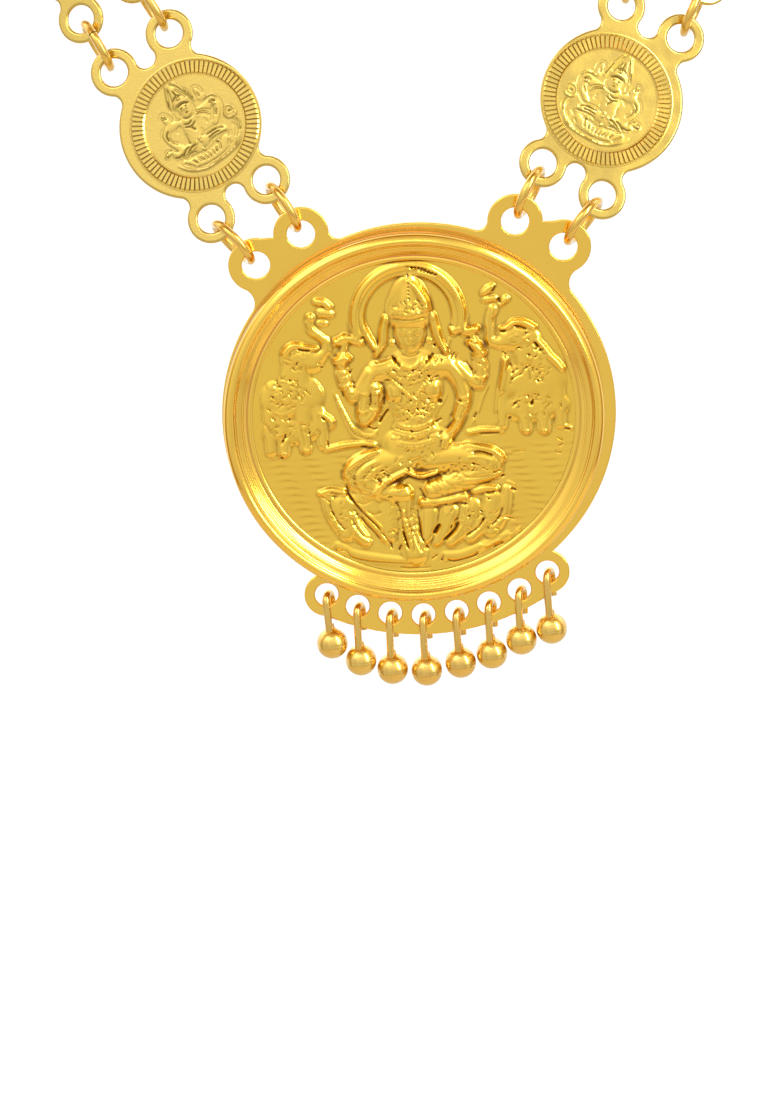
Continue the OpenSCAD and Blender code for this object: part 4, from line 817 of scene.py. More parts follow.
# where the painted orange shade lies in the groove, how strong it is on the wall, and how it grows towards
# the top
GROOVE_R, GROOVE_HALF_WIDTH, WALL_SHADE = 18.6, 0.1, 0.8
SHADE_MEAN, SHADE_SWING, SHADE_TURN, SHADE_LEAST = 0.55, 0.6, 0.25, 0.05  # most at the top
WANDER_R, WANDER_HALF_WIDTH = 19.6, 0.5
WANDER = [(3, 1, 0.035), (7, 0, 0.02), (19, 2, 0.012)]  # waves round the rim, shift, height
rim_radii = np.arange(RIM_IN, RIM_OUT + RIM_STEP / 2, RIM_STEP)
rim_heights = np.interp(rim_radii, *np.array(RIM_SHAPE).T)
rim_heights[3:-3] = np.convolve(rim_heights, np.full(7, 1 / 7), "valid")
# painted shade: an orange line in the groove and along each tool line
rim_painted_shade = np.exp(-((rim_radii - GROOVE_R) / GROOVE_HALF_WIDTH) ** 2)
for at, depth in TURNED_LINES:
    cut = np.exp(-((rim_radii - at) / LINE_HALF_WIDTH) ** 2)
    rim_heights -= depth * cut
    rim_painted_shade = np.maximum(rim_painted_shade, LINE_SHADE * depth * cut)
rim_profile = [(RIM_IN, SEATING_GAP), *zip(rim_radii, rim_heights), *RIM_WALL]
turns = 288
around = 2 * math.pi * np.arange(turns) / turns
rim_verts = []
for a in around:
    for r, h in rim_profile:
        loose = math.exp(-((r - WANDER_R) / WANDER_HALF_WIDTH) ** 2)
        wander = loose * sum(high * math.sin(n * a + shift) for n, shift, high in WANDER)
        rim_verts.append(((r + wander) * math.cos(a), (r + wander) * math.sin(a), h))
rim_faces = between_rows(turns, len(rim_profile), closed=True)
medal_rim = mesh_object("medal_rim", rim_verts, rim_faces, rim_gold, rim_seat, sharp=50)
# painted shade on the outer wall, and more painted shade towards the top of the rim
wall_painted_shade = np.full(len(RIM_WALL), WALL_SHADE)
shade_share = np.clip(SHADE_MEAN + SHADE_SWING * np.sin(around - SHADE_TURN), SHADE_LEAST, 1)
rim_shade_values = [part for share in shade_share for part in ([0], rim_painted_shade * share, wall_painted_shade)]
paint_shade(medal_rim.data, np.concatenate(rim_shade_values))
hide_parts("pendant_rim")
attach(medal_rim, "medal")
print("rim:", len(rim_faces), "faces")

# %% [markdown]
# ## Stamped plates with soft edges
# The back plate, the coins and the clasp are cut from sheet, tumbled and plated, so every edge is a
# little round and catches a line of light. The solids have the exact outlines with sharp edges. A
# plate's outline is read off the flat back of its solid and swept round a small rounded edge.


# %% Outline and rounded edge
WELD_MM, LEVEL_MM = 0.002, 0.003  # how far apart points may be that count as one, or as on one level
EDGE_STEPS, EDGE_STRIP = 3, 0.03  # a narrow flat strip inside the edge has the faces shaded flat
PLATE_EDGE = 0.16


def flat_outline(node, seat, level):
    """Loops of the flat face at a level of the piece's own z, with the metal on their left."""
    net = bmesh.new()
    net.from_mesh(nodes[node].data)
    net.transform(seat.inverted())
    bmesh.ops.remove_doubles(net, verts=net.verts, dist=WELD_MM)
    net.faces.index_update()
    flat = [f for f in net.faces if all(abs(v.co.z - level) < LEVEL_MM for v in f.verts)]
    inside = {f.index for f in flat}
    after = {}
    for face in flat:
        for loop in face.loops:
            if sum(f.index in inside for f in loop.edge.link_faces) == 1:
                a, b = loop.vert, loop.link_loop_next.vert
                if face.normal.z < 0:
                    a, b = b, a
                after[a] = b
    loops = []
    while after:
        here = next(iter(after))
        line = []
        while here in after:
            line.append((here.co.x, here.co.y))
            here = after.pop(here)
        loops.append(np.array(line))
    net.free()
    return sorted(loops, key=lambda p: -np.ptp(p[:, 0]))


def rounded_plate(name, loops, low, high, edge, material, seat):
    """Sweeps the loops round an edge of the given radius and closes both faces."""
    arc = [math.pi / 2 * k / EDGE_STEPS for k in range(EDGE_STEPS + 1)]
    profile = [(edge + EDGE_STRIP, low)]
    profile += [(edge * (1 - math.sin(a)), low + edge * (1 - math.cos(a))) for a in arc]
    profile += [(edge * (1 - math.cos(a)), high - edge * (1 - math.sin(a))) for a in arc]
    profile += [(edge + EDGE_STRIP, high)]
    verts, faces, tops, bottoms = [], [], [], []
    for line in loops:
        ahead = np.roll(line, -1, 0) - line
        ahead /= np.maximum(np.linalg.norm(ahead, axis=1), 1e-9)[:, None]
        mean = ahead + np.roll(ahead, 1, 0)
        mean /= np.maximum(np.linalg.norm(mean, axis=1), 1e-9)[:, None]
        out = np.stack([mean[:, 1], -mean[:, 0]], 1)
        first, n = len(verts), len(line)
        for inset, z in profile:
            verts += [(x, y, z) for x, y in line - out * inset]
        faces += between_rows(len(profile), n, first)
        bottoms.append(list(range(first, first + n)))
        tops.append(list(range(first + (len(profile) - 1) * n, first + len(profile) * n)))
    for rims, up in ((tops, 1), (bottoms, -1)):
        index = [k for rim in rims for k in rim]
        for tri in tessellate_polygon([[Vector(verts[k]) for k in rim] for rim in rims]):
            a, b, c = (Vector(verts[index[k]]) for k in tri)
            turn = (b - a).cross(c - a).z * up
            faces.append(tuple(index[k] for k in (tri if turn > 0 else reversed(tri))))
    return mesh_object(name, verts, faces, material, seat, sharp=40)


plate_seat = seat_from(*medal_place)
plate_loops = flat_outline("pendant_plate", plate_seat, -PLATE_T / 2)
medal_plate = rounded_plate("medal_plate", plate_loops, -PLATE_T / 2, PLATE_T / 2, PLATE_EDGE,
                            rim_gold, plate_seat)
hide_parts("pendant_plate")
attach(medal_plate, "medal")
print("back plate:", len(plate_loops), "loops,", len(medal_plate.data.polygons), "faces")

# %% [markdown]
# ## The coins
# Eighteen coins carry the same stamped figure, on the left row mirrored. One coin is made as a plate
# with a stamped cap on it, and a Geometry Nodes tree adds the border of reeds and sets copies along
# the row. Copies stay identical, as they are from one die, and the row's sizes stay in one place. A
# row is two pieces: the coins in front, and those that go round to the nape. The figure is low, and
# painted shade makes it clear: a dark line along every stroke, one in a cut and one at each side of
# a ridge, and darker hollows and ground under the reeds.

# %% Strokes of the coin's figure
COIN_LIMBS = [  # height, strokes of (x, y, radius)
    (0.34, [-0.6, 2.9, 1.05, -0.45, 4.1, 0.65, -0.3, 5.1, 0.25]),
    (0.42, [-0.6, 2.2, 0.85, -0.55, 1.6, 0.7]),
    (0.36, [-0.3, 0.7, 0.95, 0, -0.4, 0.9, 0.2, -1.6, 1]),
    (0.3, [0.8, 0.9, 0.5, 2.2, 1.1, 0.5, 2.9, 0.6, 0.5], [2.95, 0.3, 0.45, 2.7, -0.8, 0.42, 2, -1.8, 0.4]),
    (0.26, [1.75, 1.5, 0.4, 2, 2.4, 0.4], [-2.85, 1.9, 0.42, -2.8, 2.9, 0.42]),
    (0.22, [-1.2, 0.7, 0.45, -2.4, 0.7, 0.5, -3.6, 0.8, 0.55]),
    (0.28, [-3.8, 0.3, 0.45, -3.5, -0.6, 0.42, -2.7, -1.4, 0.38]),
    (0.25, [-4.7, -1.2, 0.6, -4.65, -1.25, 0.6]),
    (0.2, [-4.7, -1.9, 0.2, -4.8, -2.9, 0.2, -4.3, -3.9, 0.2, -3.4, -4.7, 0.2]),
    (0.4, [-0.6, -2.3, 0.65, -1.9, -2.3, 0.65, -3, -2.6, 0.5]),
    (0.38, [0.5, -2.5, 0.7, 1.7, -2.3, 0.7, 2.9, -1.9, 0.6]),
    (0.3, [3.3, -1.2, 0.4, 3.9, -1.4, 0.45]),
    (0.24, [-2.7, -3.6, 0.55, -1.6, -4.1, 0.6, -0.4, -4.3, 0.6],
     [0.4, -4.2, 0.6, 1.5, -4, 0.6, 2.6, -3.4, 0.55]),
]
COIN_LINES = [  # width, height or depth, strokes of (x, y)
    (0.12, 0.14, [-0.3, 5.4, -1.1, 5, -1.5, 4.2, -1.8, 3.3, -2.1, 1.9],
     [-0.2, 5.3, 0.3, 4.2, 0.7, 3.2, 0.8, 2.5], [-1.55, 2.4, -0.8, 2.85, 0.1, 2.8, 0.5, 2.4]),
    (0.1, -0.16, [-0.8, 4.4, -1.2, 3.6, -1.5, 2.9], [-0.1, 4.8, 0.1, 4, 0.4, 3.1]),
    (0.09, -0.12, [-0.5, 4.4, -0.6, 3.4]),
    (0.09, -0.16, [-1.4, 2.2, -0.7, 2.55, 0.2, 2.45], [0.8, 2.1, 0.95, 1.5, 0.5, 1.1],
     [-3.3, 2.2, -3.2, 3, -2.8, 3.4, -2.4, 3.1, -2.3, 2.3], [-3.6, -0.1, -3.1, -0.7],
     [-1.8, -0.2, -1.9, -0.8], [0, -0.1, -0.4, -0.8], [1.8, 2.5, 1.85, 2], [2.15, 2.6, 2.1, 2.1],
     [1.3, 1.4, 1.45, 2.3, 1.9, 2.9, 2.4, 2.5, 2.4, 1.6], [3.1, -1.2, 3.6, -0.9, 4.2, -1.1],
     [3.4, -1.6, 4.1, -1.6], [-3.2, -2.4, -2.5, -2, -0.9, -1.9], [1.3, -1.9, 2, -2.1, 2.6, -2.6],
     [-3.6, -3.1, -3.1, -3.5]),
    (0.09, -0.2, [-1.55, 2, -1.5, 1.3, -1, 0.9, -0.3, 0.85, 0.2, 1.2], [-2.7, 2.6, -2.7, 2.1], [-4.45, 0.9,
     -4.4, 0.1, -4, -0.7, -3.4, -1.3, -2.8, -1.7, -1.7, -1.6, -0.5, -1.65], [-2.9, 0, -2.5, 0.5, -1.4, 1],
     [-2.6, -0.4, -2.1, 0.25, -1.4, 0.6], [0.9, -2.9, 1.4, -2.75, 2, -2.85]),
    (0.08, 0.08, [-0.6, 2.1, -0.6, 1.7]),
    (0.07, -0.06, [-0.8, 1.45, -0.4, 1.45]),
    (0.1, 0.16, [-4.4, 1, -4.1, 1.5, -3.5, 1.65, -2.9, 1.6], [-4.1, -4, -3.3, -4.8, -1.8, -5.1, 0.6, -5.1,
     1.6, -4.8, 2.4, -4.4, 3.1, -3.7, 3.6, -2.9], [-5.3, -1.4, -5.1, -0.7, -4.6, -0.5, -4.1, -0.9,
     -4.1, -1.6, -4.6, -1.9, -5.1, -1.8, -5.3, -1.4]),
    (0.09, 0.12, [-2.7, -0.2, -2.2, 0.4, -1.4, 0.8], [0.2, -1.9, 1, -2.4, 2.2, -2.4]),
    (0.09, -0.18, [0.9, 0.6, 1.3, 0.45, 1.6, 0.1],
     [2.3, 1.55, 3, 1.2, 3.4, 0.5, 3.3, -0.4, 3, -1.1, 2.6, -1.8], [2.6, 0.2, 2.6, -0.4, 2.1, -1],
     [-2.9, -3.8, -2.5, -4.3], [-1.8, -3.5, -1.5, -4.2], [-0.6, -3.7, -0.6, -4.3], [0.4, -3.7, 0.2, -4.3],
     [1.2, -3.5, 0.9, -4.1], [2.8, -3.2, 2.3, -3.8, 2, -4.2]),
    (0.1, -0.2, [-3.3, -2.9, -2.4, -2.75, -1.4, -2.7, -0.8, -2.9]),
    (0.09, -0.14, [-4.9, -1.2, -4.5, -1.2], [-4.1, -2.4, -4.3, -3.2, -3.7, -4]),
    (0.08, -0.14, [-1.75, 4, -1.95, 3, -2.1, 2.2], [0.55, 3.7, 0.85, 2.9, 0.9, 2.5],
     [-3.3, 0.4, -3, -0.2, -2.4, -0.9], [-4, 0.7, -3.6, 1, -3.2, 0.8], [2.3, 0.9, 2.8, 0.5, 2.9, -0.2],
     [-2.6, -2.4, -1.8, -2.3, -1, -2.4], [0.4, -2.2, 1.1, -2.1, 1.9, -2.5],
     [-2.2, -3.3, -1.2, -3.3, -0.3, -3.5], [0.5, -3.3, 1.4, -3.1, 2.5, -2.9],
     [-3.2, -4.2, -2.2, -4.7, -0.8, -4.8, 0.8, -4.7, 1.9, -4.3], [-1.2, -3.6, -1, -4.2],
     [-0.1, -3.7, -0.2, -4.3], [0.9, -3.6, 0.6, -4.2], [1.8, -3.4, 1.5, -4],
     [2.3, -2.2, 2.9, -2.3, 3.4, -2], [-4.8, -2.2, -4.9, -3, -4.5, -3.7]),
    (0.08, -0.12, [-1.2, 3.4, -0.5, 3.6, 0.2, 3.3], [-0.6, 0.45, -0.1, 0.25, 0.5, 0.5],
     [-0.9, 0.1, -0.2, -0.15, 0.6, 0.15], [-0.9, -0.9, -0.95, -1.4], [0.9, -0.5, 1.1, -1.2, 1, -1.8]),
    (0.07, -0.1, [-1, 2.05, -0.75, 2.12], [-0.4, 2.12, -0.15, 2.05]),
]
COIN_BEADS = [  # x, y, radius, height
    (-3.7, 0.6, 0.25, 0.14), (-0.85, 1.95, 0.13, 0.06), (-0.3, 1.95, 0.13, 0.06), (-0.2, -1.8, 0.16, 0.1),
    (-0.2, -2.15, 0.16, 0.1), (0, -3.1, 0.2, 0.12), (-0.6, 3.3, 0.2, 0.1), (3.9, -1.3, 0.25, 0.1),
    (-1.7, -3.2, 0.18, 0.1),
]

# %% One coin, flat on its own axes
COIN_RISE, COIN_LINE_RISE, COIN_SOFTNESS, COIN_DEEPEST = 0.17, 0.45, 0.03, -0.1
# painted shade: dark lines along the strokes (width, strength, widths at a ridge's sides and on its top), the
# shade under the reeds, and the shade in the figure's hollows
SHADE_LINE_WIDTH, SHADE_LINE_STRENGTH, RIDGE_SIDES, RIDGE_TOP, BORDER_SHADE = 0.12, 0.95, 1.7, 0.8, 0.55
COIN_SHADE_FROM, COIN_SHADE_OVER, COIN_SHADE_REACH = 0.004, 0.04, 8
BORDER_SHIFT, BORDER_R, FIGURE_R, CAP_R, CAP_LIFT = (-0.55, -0.3), (5.72, 7.42), 5.4, 7.62, 0.015
COIN_EDGE = 0.28
cap_step, border_step = ((0.105, 0.3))
cap_radii = [*np.arange(cap_step, FIGURE_R, cap_step), *np.arange(FIGURE_R, CAP_R, border_step), CAP_R]
cap_points, cap_faces, cap_edge = ring_points(cap_radii)
cap_height = np.zeros(len(cap_points))
figure_points = cap_points + BORDER_SHIFT
for top, path in strokes(COIN_LIMBS, 3):
    raise_limb(figure_points, cap_height, path, top * COIN_RISE, COIN_SOFTNESS)
# painted shade along each stroke: a dark line in a cut, and one at each side of a ridge
painted_line_shade = np.zeros(len(cap_points))
for width, depth, path in strokes(COIN_LINES, 2):
    draw_line(figure_points, cap_height, path, width, depth * COIN_LINE_RISE)
    stroke_shade = np.zeros(len(cap_points))
    draw_line(figure_points, stroke_shade, path, SHADE_LINE_WIDTH if depth < 0 else RIDGE_SIDES * SHADE_LINE_WIDTH, SHADE_LINE_STRENGTH)
    if depth > 0:
        draw_line(figure_points, stroke_shade, path, RIDGE_TOP * SHADE_LINE_WIDTH, -SHADE_LINE_STRENGTH)
    painted_line_shade = np.maximum(painted_line_shade, stroke_shade)
for x, y, r, top in COIN_BEADS:
    set_bead(figure_points, cap_height, x, y, r, top)
# painted shade in the figure's hollows and over the ground under the reeds
low_parts = rounded_off(cap_height, cap_faces, COIN_SHADE_REACH) - cap_height
cap_painted_shade = np.clip(np.maximum((low_parts - COIN_SHADE_FROM) / COIN_SHADE_OVER, painted_line_shade), 0, 1)
cap_r = np.hypot(*cap_points.T)
cap_painted_shade[(cap_r > BORDER_R[0]) & (cap_r < BORDER_R[1])] = BORDER_SHADE
cap_height = np.maximum(cap_height, COIN_DEEPEST) + CAP_LIFT
cap_height[cap_edge:] = -CAP_LIFT
coin_loops = flat_outline("coin_right_1", seat_from(*coin_places[0]), -COIN_T / 2)
coin_blank = rounded_plate("coin_blank", coin_loops, -COIN_T / 2, COIN_T / 2, COIN_EDGE, coin_gold, None)
coin_cap = mesh_object("coin_cap", [(x, y, COIN_T / 2 + h) for (x, y), h in zip(figure_points, cap_height)],
                       cap_faces, coin_gold)
paint_shade(coin_cap.data, cap_painted_shade)
print("coin:", len(coin_loops), "loops,", len(coin_blank.data.polygons) + len(cap_faces), "faces")


# %% Geometry Nodes: a row of coins with reeded borders
def sockets(tree, **names):
    """Gives the tree one input for each name, listed by kind, and an output, and returns the inputs."""
    for kind, listed in names.items():
        for name in listed.split(", "):
            tree.interface.new_socket(name, in_out="INPUT", socket_type="NodeSocket" + kind)
    tree.interface.new_socket("Geometry", in_out="OUTPUT", socket_type="NodeSocketGeometry")
    return put(tree, "NodeGroupInput").outputs


def set_on_points(tree, given, piece):
    """Ends a tree: the piece on every point, turned as the point says, in the given material."""
    turn = put(tree, "GeometryNodeInputNamedAttribute", {"Name": "turn"}, data_type="FLOAT_VECTOR")
    row = put(tree, "GeometryNodeInstanceOnPoints", {"Points": given["Points"], "Instance": piece,
                                                     "Rotation": turn})
    real = put(tree, "GeometryNodeRealizeInstances", {"Geometry": row})
    dressed = put(tree, "GeometryNodeSetMaterial", {"Geometry": real, "Material": given["Material"]})
    put(tree, "NodeGroupOutput", {0: dressed})


def points_with_turns(places):
    """A mesh of bare points, in millimetres, that carry each piece's turn."""
    mesh = bpy.data.meshes.new("spots")
    mesh.from_pydata([tuple(place[0]) for place in places], [], [])
    turns = mesh.attributes.new("turn", "FLOAT_VECTOR", "POINT")
    for k, place in enumerate(places):
        turns.data[k].vector = Matrix(place[1:]).transposed().to_euler()
    return added("spots", mesh)


def grown(name, places, tree, values, mirror):
    """Applies the tree to points at the places, turns the result into a mesh in metres, and clears up."""
    points = points_with_turns(places)
    modifier = points.modifiers.new("grow", "NODES")
    modifier.node_group = tree
    for item in tree.interface.items_tree:
        if item.item_type == "SOCKET" and item.in_out == "INPUT" and item.name in values:
            modifier[item.identifier] = values[item.name]
    view = bpy.context.evaluated_depsgraph_get()
    mesh = bpy.data.meshes.new_from_object(points.evaluated_get(view))
    mesh.name = name
    mesh.transform(Matrix.Diagonal((0.001, 0.001, 0.001, 1)))
    if mirror:
        mesh.transform(Matrix.Diagonal((-1, 1, 1, 1)))
        mesh.flip_normals()
    mesh.shade_smooth()
    mesh.set_sharp_from_angle(angle=math.radians(40))
    bpy.data.objects.remove(points)
    return added(name, mesh)


coin_tree = bpy.data.node_groups.new("row_of_reeded_coins", "GeometryNodeTree")
given = sockets(coin_tree, Geometry="Points", Object="Blank, Cap", Int="Reeds", Vector="Border shift",
                Float="Border radius, Reed length, Reed width, Reed height, Top share, Bead radius, Face",
                Material="Material")
# one reed is a low bar with a flat top and sloping sides: a stretched cone with four sides
top_r = put(coin_tree, "ShaderNodeMath", {0: given["Top share"], 1: math.sqrt(0.5)}, operation="MULTIPLY")
reed = put(coin_tree, "GeometryNodeMeshCone", {"Vertices": 4, "Radius Top": top_r,
                                               "Radius Bottom": math.sqrt(0.5), "Depth": 1.0})
squared = put(coin_tree, "GeometryNodeTransform", {"Geometry": reed, "Rotation": (0, 0, math.pi / 4)})
reed_size = put(coin_tree, "ShaderNodeCombineXYZ", {"X": given["Reed length"], "Y": given["Reed width"],
                                                    "Z": given["Reed height"]})
bar = put(coin_tree, "GeometryNodeTransform", {"Geometry": squared, "Scale": reed_size})
circle = put(coin_tree, "GeometryNodeMeshCircle", {"Vertices": given["Reeds"],
                                                   "Radius": given["Border radius"]})
number = put(coin_tree, "GeometryNodeInputIndex")
step = put(coin_tree, "ShaderNodeMath", {0: 2 * math.pi, 1: given["Reeds"]}, operation="DIVIDE")
angle = put(coin_tree, "ShaderNodeMath", {0: number, 1: step}, operation="MULTIPLY")
aim_out = put(coin_tree, "ShaderNodeCombineXYZ", {"Z": angle})
reeds = put(coin_tree, "GeometryNodeInstanceOnPoints", {"Points": circle, "Instance": bar,
                                                        "Rotation": aim_out})
lift = put(coin_tree, "ShaderNodeCombineXYZ", {"Z": given["Face"]})
at = put(coin_tree, "ShaderNodeVectorMath", {0: given["Border shift"], 1: lift}, operation="ADD")
border = put(coin_tree, "GeometryNodeTransform", {"Geometry": reeds, "Translation": at})
# a fine wire-like circle closes the reeds on the inside and on the outside
half_reed = put(coin_tree, "ShaderNodeMath", {0: given["Reed length"], 1: 0.5}, operation="MULTIPLY")
bead = put(coin_tree, "GeometryNodeCurvePrimitiveCircle", {"Resolution": 6, "Radius": given["Bead radius"]})
closers = put(coin_tree, "GeometryNodeJoinGeometry")
for sign in ("ADD", "SUBTRACT"):
    where = put(coin_tree, "ShaderNodeMath", {0: given["Border radius"], 1: half_reed}, operation=sign)
    line = put(coin_tree, "GeometryNodeCurvePrimitiveCircle", {"Resolution": 96, "Radius": where})
    rod = put(coin_tree, "GeometryNodeCurveToMesh", {"Curve": line, "Profile Curve": bead})
    coin_tree.links.new(rod.outputs[0], closers.inputs[0])
edging = put(coin_tree, "GeometryNodeTransform", {"Geometry": closers, "Translation": at})
blank = put(coin_tree, "GeometryNodeObjectInfo", {"Object": given["Blank"]})
cap = put(coin_tree, "GeometryNodeObjectInfo", {"Object": given["Cap"]})
coin = put(coin_tree, "GeometryNodeJoinGeometry")
for part in (blank.outputs["Geometry"], cap.outputs["Geometry"], border.outputs[0], edging.outputs[0]):
    coin_tree.links.new(part, coin.inputs[0])
set_on_points(coin_tree, given, put(coin_tree, "GeometryNodeGeometryToInstance", {"Geometry": coin}))

# %% Both rows of coins
FRONT_COINS = 4
COIN_SIZES = {"Blank": coin_blank, "Cap": coin_cap, "Material": coin_gold, "Face": COIN_T / 2, "Reeds": 80,
              "Border radius": sum(BORDER_R) / 2, "Border shift": (*BORDER_SHIFT, 0), "Bead radius": 0.08,
              "Reed length": BORDER_R[1] - BORDER_R[0], "Reed width": 0.46, "Reed height": 0.2,
              "Top share": 0.72}
for side in ("right", "left"):
    for part, chosen in (("front", range(FRONT_COINS)), ("back", range(FRONT_COINS, COINS))):
        places = [coin_places[k] for k in chosen]
        coins = grown(f"coins_{side}_{part}", places, coin_tree, COIN_SIZES, side == "left")
        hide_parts(*[f"coin_{side}_{k + 1}" for k in chosen])
        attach(coins, "chain")
        print(coins.name, len(coins.data.polygons), "faces")
for helper in (coin_blank, coin_cap):
    bpy.data.objects.remove(helper)

# %% [markdown]
# ## Jump rings
# A jump ring is a length of round wire bent until its ends meet, so each ring shows a hair-fine cut.
# An arc that stops just short of a full turn, with a round profile and closed ends, is exactly that.
# A second tree sets one on every spot between two ears.


# %% Where the rings are
def unit(v):
    """The vector at length one."""
    return v / np.linalg.norm(v)


def ring_place(start, start_out, end, end_out):
    """The place of a ring through two holes, from their middles and the ways that their pieces face."""
    along = unit(end - start)
    reach = np.linalg.norm(end - start) / 4
    lean = unit(along - along @ start_out * start_out) - unit(along - along @ end_out * end_out)
    out = start_out + end_out
    out = unit(out - out @ along * along)
    axis = math.cos(RING_TURN) * np.cross(along, out) + math.sin(RING_TURN) * out
    return [(start + end + reach * lean) / 2, along, np.cross(axis, along), axis]


def spun(place, spin):
    """A piece's place after it has turned about its own axis."""
    middle, x, y, z = place
    return [middle, math.cos(spin) * x + math.sin(spin) * y, math.cos(spin) * y - math.sin(spin) * x, z]


chance = np.random.default_rng(7)
ring_places = []
for k in range(COINS + 1):
    for strand in (0, 1):
        across = EAR_ACROSS * (2 * strand - 1)
        before = medal_place if k == 0 else coin_places[k - 1]
        after = clasp_place if k == COINS else coin_places[k]
        start = spot(medal_place, *MEDAL_EARS[strand]) if k == 0 else spot(before, across, EAR_ALONG)
        end = spot(after, across, -(CLASP_ALONG if k == COINS else EAR_ALONG))
        ring_places.append(spun(ring_place(start, before[3], end, after[3]), chance.uniform(0, 2 * math.pi)))
print(len(ring_places), "rings on each side")

# %% Geometry Nodes: rings of cut wire
ring_tree = bpy.data.node_groups.new("jump_rings", "GeometryNodeTree")
given = sockets(ring_tree, Geometry="Points", Float="Ring radius, Wire radius, Cut angle, Cut at",
                Material="Material")
sweep = put(ring_tree, "ShaderNodeMath", {0: 2 * math.pi, 1: given["Cut angle"]}, operation="SUBTRACT")
arc = put(ring_tree, "GeometryNodeCurveArc", {"Resolution": 49, "Radius": given["Ring radius"],
                                              "Start Angle": given["Cut at"], "Sweep Angle": sweep})
wire = put(ring_tree, "GeometryNodeCurvePrimitiveCircle", {"Resolution": 16, "Radius": given["Wire radius"]})
bent = put(ring_tree, "GeometryNodeCurveToMesh", {"Curve": arc, "Profile Curve": wire, "Fill Caps": True})
set_on_points(ring_tree, given, bent)
RING_SIZES = {"Ring radius": RING_D / 2, "Wire radius": WIRE_D / 2, "Cut angle": 0.02, "Cut at": 0.0,
              "Material": wire_gold}
for side in ("right", "left"):
    links = grown("jump_rings_" + side, ring_places, ring_tree, RING_SIZES, side == "left")
    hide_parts(*[f"rings_{side}_{k}" for k in range(COINS + 1)])
    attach(links, "chain")
    print(links.name, len(links.data.polygons), "faces")

# %% [markdown]
# ## Ball drops
# Each ball is two pressed halves soldered together, so it has a faint line round it, and the wire is
# soldered into its top with a small collar of solder. The wire goes up in front of the flange, bends
# back through its hole and hangs down behind.

# %% Drops
BALL_R, BALL_SIDES, DROP_WIRE_R, BEND_R, TAIL = 1.75, 40, 0.425, 0.95, 3.1
FLANGE_HOLE_R, HOLE_CIRCLE_R, HOLE_SPACING, HOLES_TURN = 1.31, 23.4, 9.14, 2.5  # the last two in degrees
SLACK, SUNK, SUNK_START = 0.05, 0.8, 1.2  # play of a bent wire, and its lower end inside the ball's collar
TWIST = 0.34  # sideways shift of the wire for each millimetre back, which shows its cut end
# each drop's length, and its lean in degrees
DROPS = [(5.6, 3), (6.2, 0), (6.4, -1), (6.4, 0), (5.9, 1), (5.8, 0), (5.7, -1), (6.5, 1)]
BALL_PROFILE = [(0.0, -1.0)] + [(math.cos(a), math.sin(a)) for a in np.radians(np.arange(-84, 0, 6))]
BALL_PROFILE += [(1.0, -0.03), (0.99, 0), (1.0, 0.03)]
BALL_PROFILE += [(math.cos(a), math.sin(a)) for a in np.radians(np.arange(6, 70, 6))]
BALL_PROFILE += [(0.34, 0.965), (0.285, 1.03), (0.255, 1.12), (0.242, 1.25), (0.0, 1.25)]


def lathe(profile, turns, x, y, z):
    """Verts and faces of a profile of (radius, height) swept round the vertical through a point."""
    verts, faces, n = [], [], len(profile)
    for j in range(turns):
        a = 2 * math.pi * j / turns
        verts += [(x + r * math.cos(a), y + h, z - r * math.sin(a)) for r, h in profile]
    for j in range(turns):
        a, b = j * n, (j + 1) % turns * n
        faces += [(a + k, b + k, b + k + 1, a + k + 1) for k in range(n - 1)]
    return verts, faces


def wire_along(path, radius, sides=16):
    """Verts and faces of a wire with closed, slightly rounded ends along points in the y-z plane."""
    path = [Vector(p) for p in path]
    verts = []
    for k, p in enumerate(path):
        ahead = (path[min(k + 1, len(path) - 1)] - path[max(k - 1, 0)]).normalized()
        side = Vector((1, 0, 0))
        over = side.cross(ahead)
        r = radius * (0.75 if k in (0, len(path) - 1) else 1)
        for j in range(sides):
            a = 2 * math.pi * j / sides
            verts.append(p + side * r * math.cos(a) + over * r * math.sin(a))
    faces = between_rows(len(path), sides)
    faces += [tuple(reversed(range(sides))), tuple(range(len(verts) - sides, len(verts)))]
    return verts, faces


for k, (length, lean) in enumerate(DROPS):
    at = math.radians(-90 + HOLES_TURN + (k - (len(DROPS) - 1) / 2) * HOLE_SPACING)
    hole = (HOLE_CIRCLE_R * math.cos(at), HOLE_CIRCLE_R * math.sin(at), 0)
    bend_y = BEND_R - FLANGE_HOLE_R - DROP_WIRE_R - 2 * SLACK
    path = [(bend, BEND_R) for bend in (SUNK - length, SUNK_START - length, bend_y)]
    path += [(bend_y + BEND_R * math.sin(a), BEND_R * math.cos(a)) for a in np.radians(range(12, 180, 12))]
    path += [(bend, -BEND_R) for bend in (bend_y, SLACK - TAIL, -TAIL)]
    path = [(TWIST * (BEND_R / 2 - z), y, z) for y, z in path]
    wire_verts, wire_faces = wire_along(path, DROP_WIRE_R)
    ball = [(r * BALL_R, h * BALL_R) for r, h in BALL_PROFILE]
    ball_verts, ball_faces = lathe(ball, BALL_SIDES, 0, -length, BEND_R / 2)
    faces = wire_faces + [tuple(i + len(wire_verts) for i in f) for f in ball_faces]
    seat = plate_seat @ Matrix.Translation(hole) @ Matrix.Rotation(math.radians(lean), 4, "Z")
    drop = mesh_object(f"ball_drop_{k + 1}", wire_verts + ball_verts, faces, ball_gold, seat, sharp=60)
    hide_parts(f"drop_{k + 1}")
    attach(drop, "medal")
print(len(DROPS), "drops")

# %% [markdown]
# ## The clasp
# The photograph doesn't show it. It is a plain box on a plate with four ears, and its solid already
# has that shape, so only its finish is set.

# %% Clasp
nodes["clasp"].data.materials.clear()
nodes["clasp"].data.materials.append(coin_gold)
print("clasp:", len(nodes["clasp"].data.polygons), "faces")

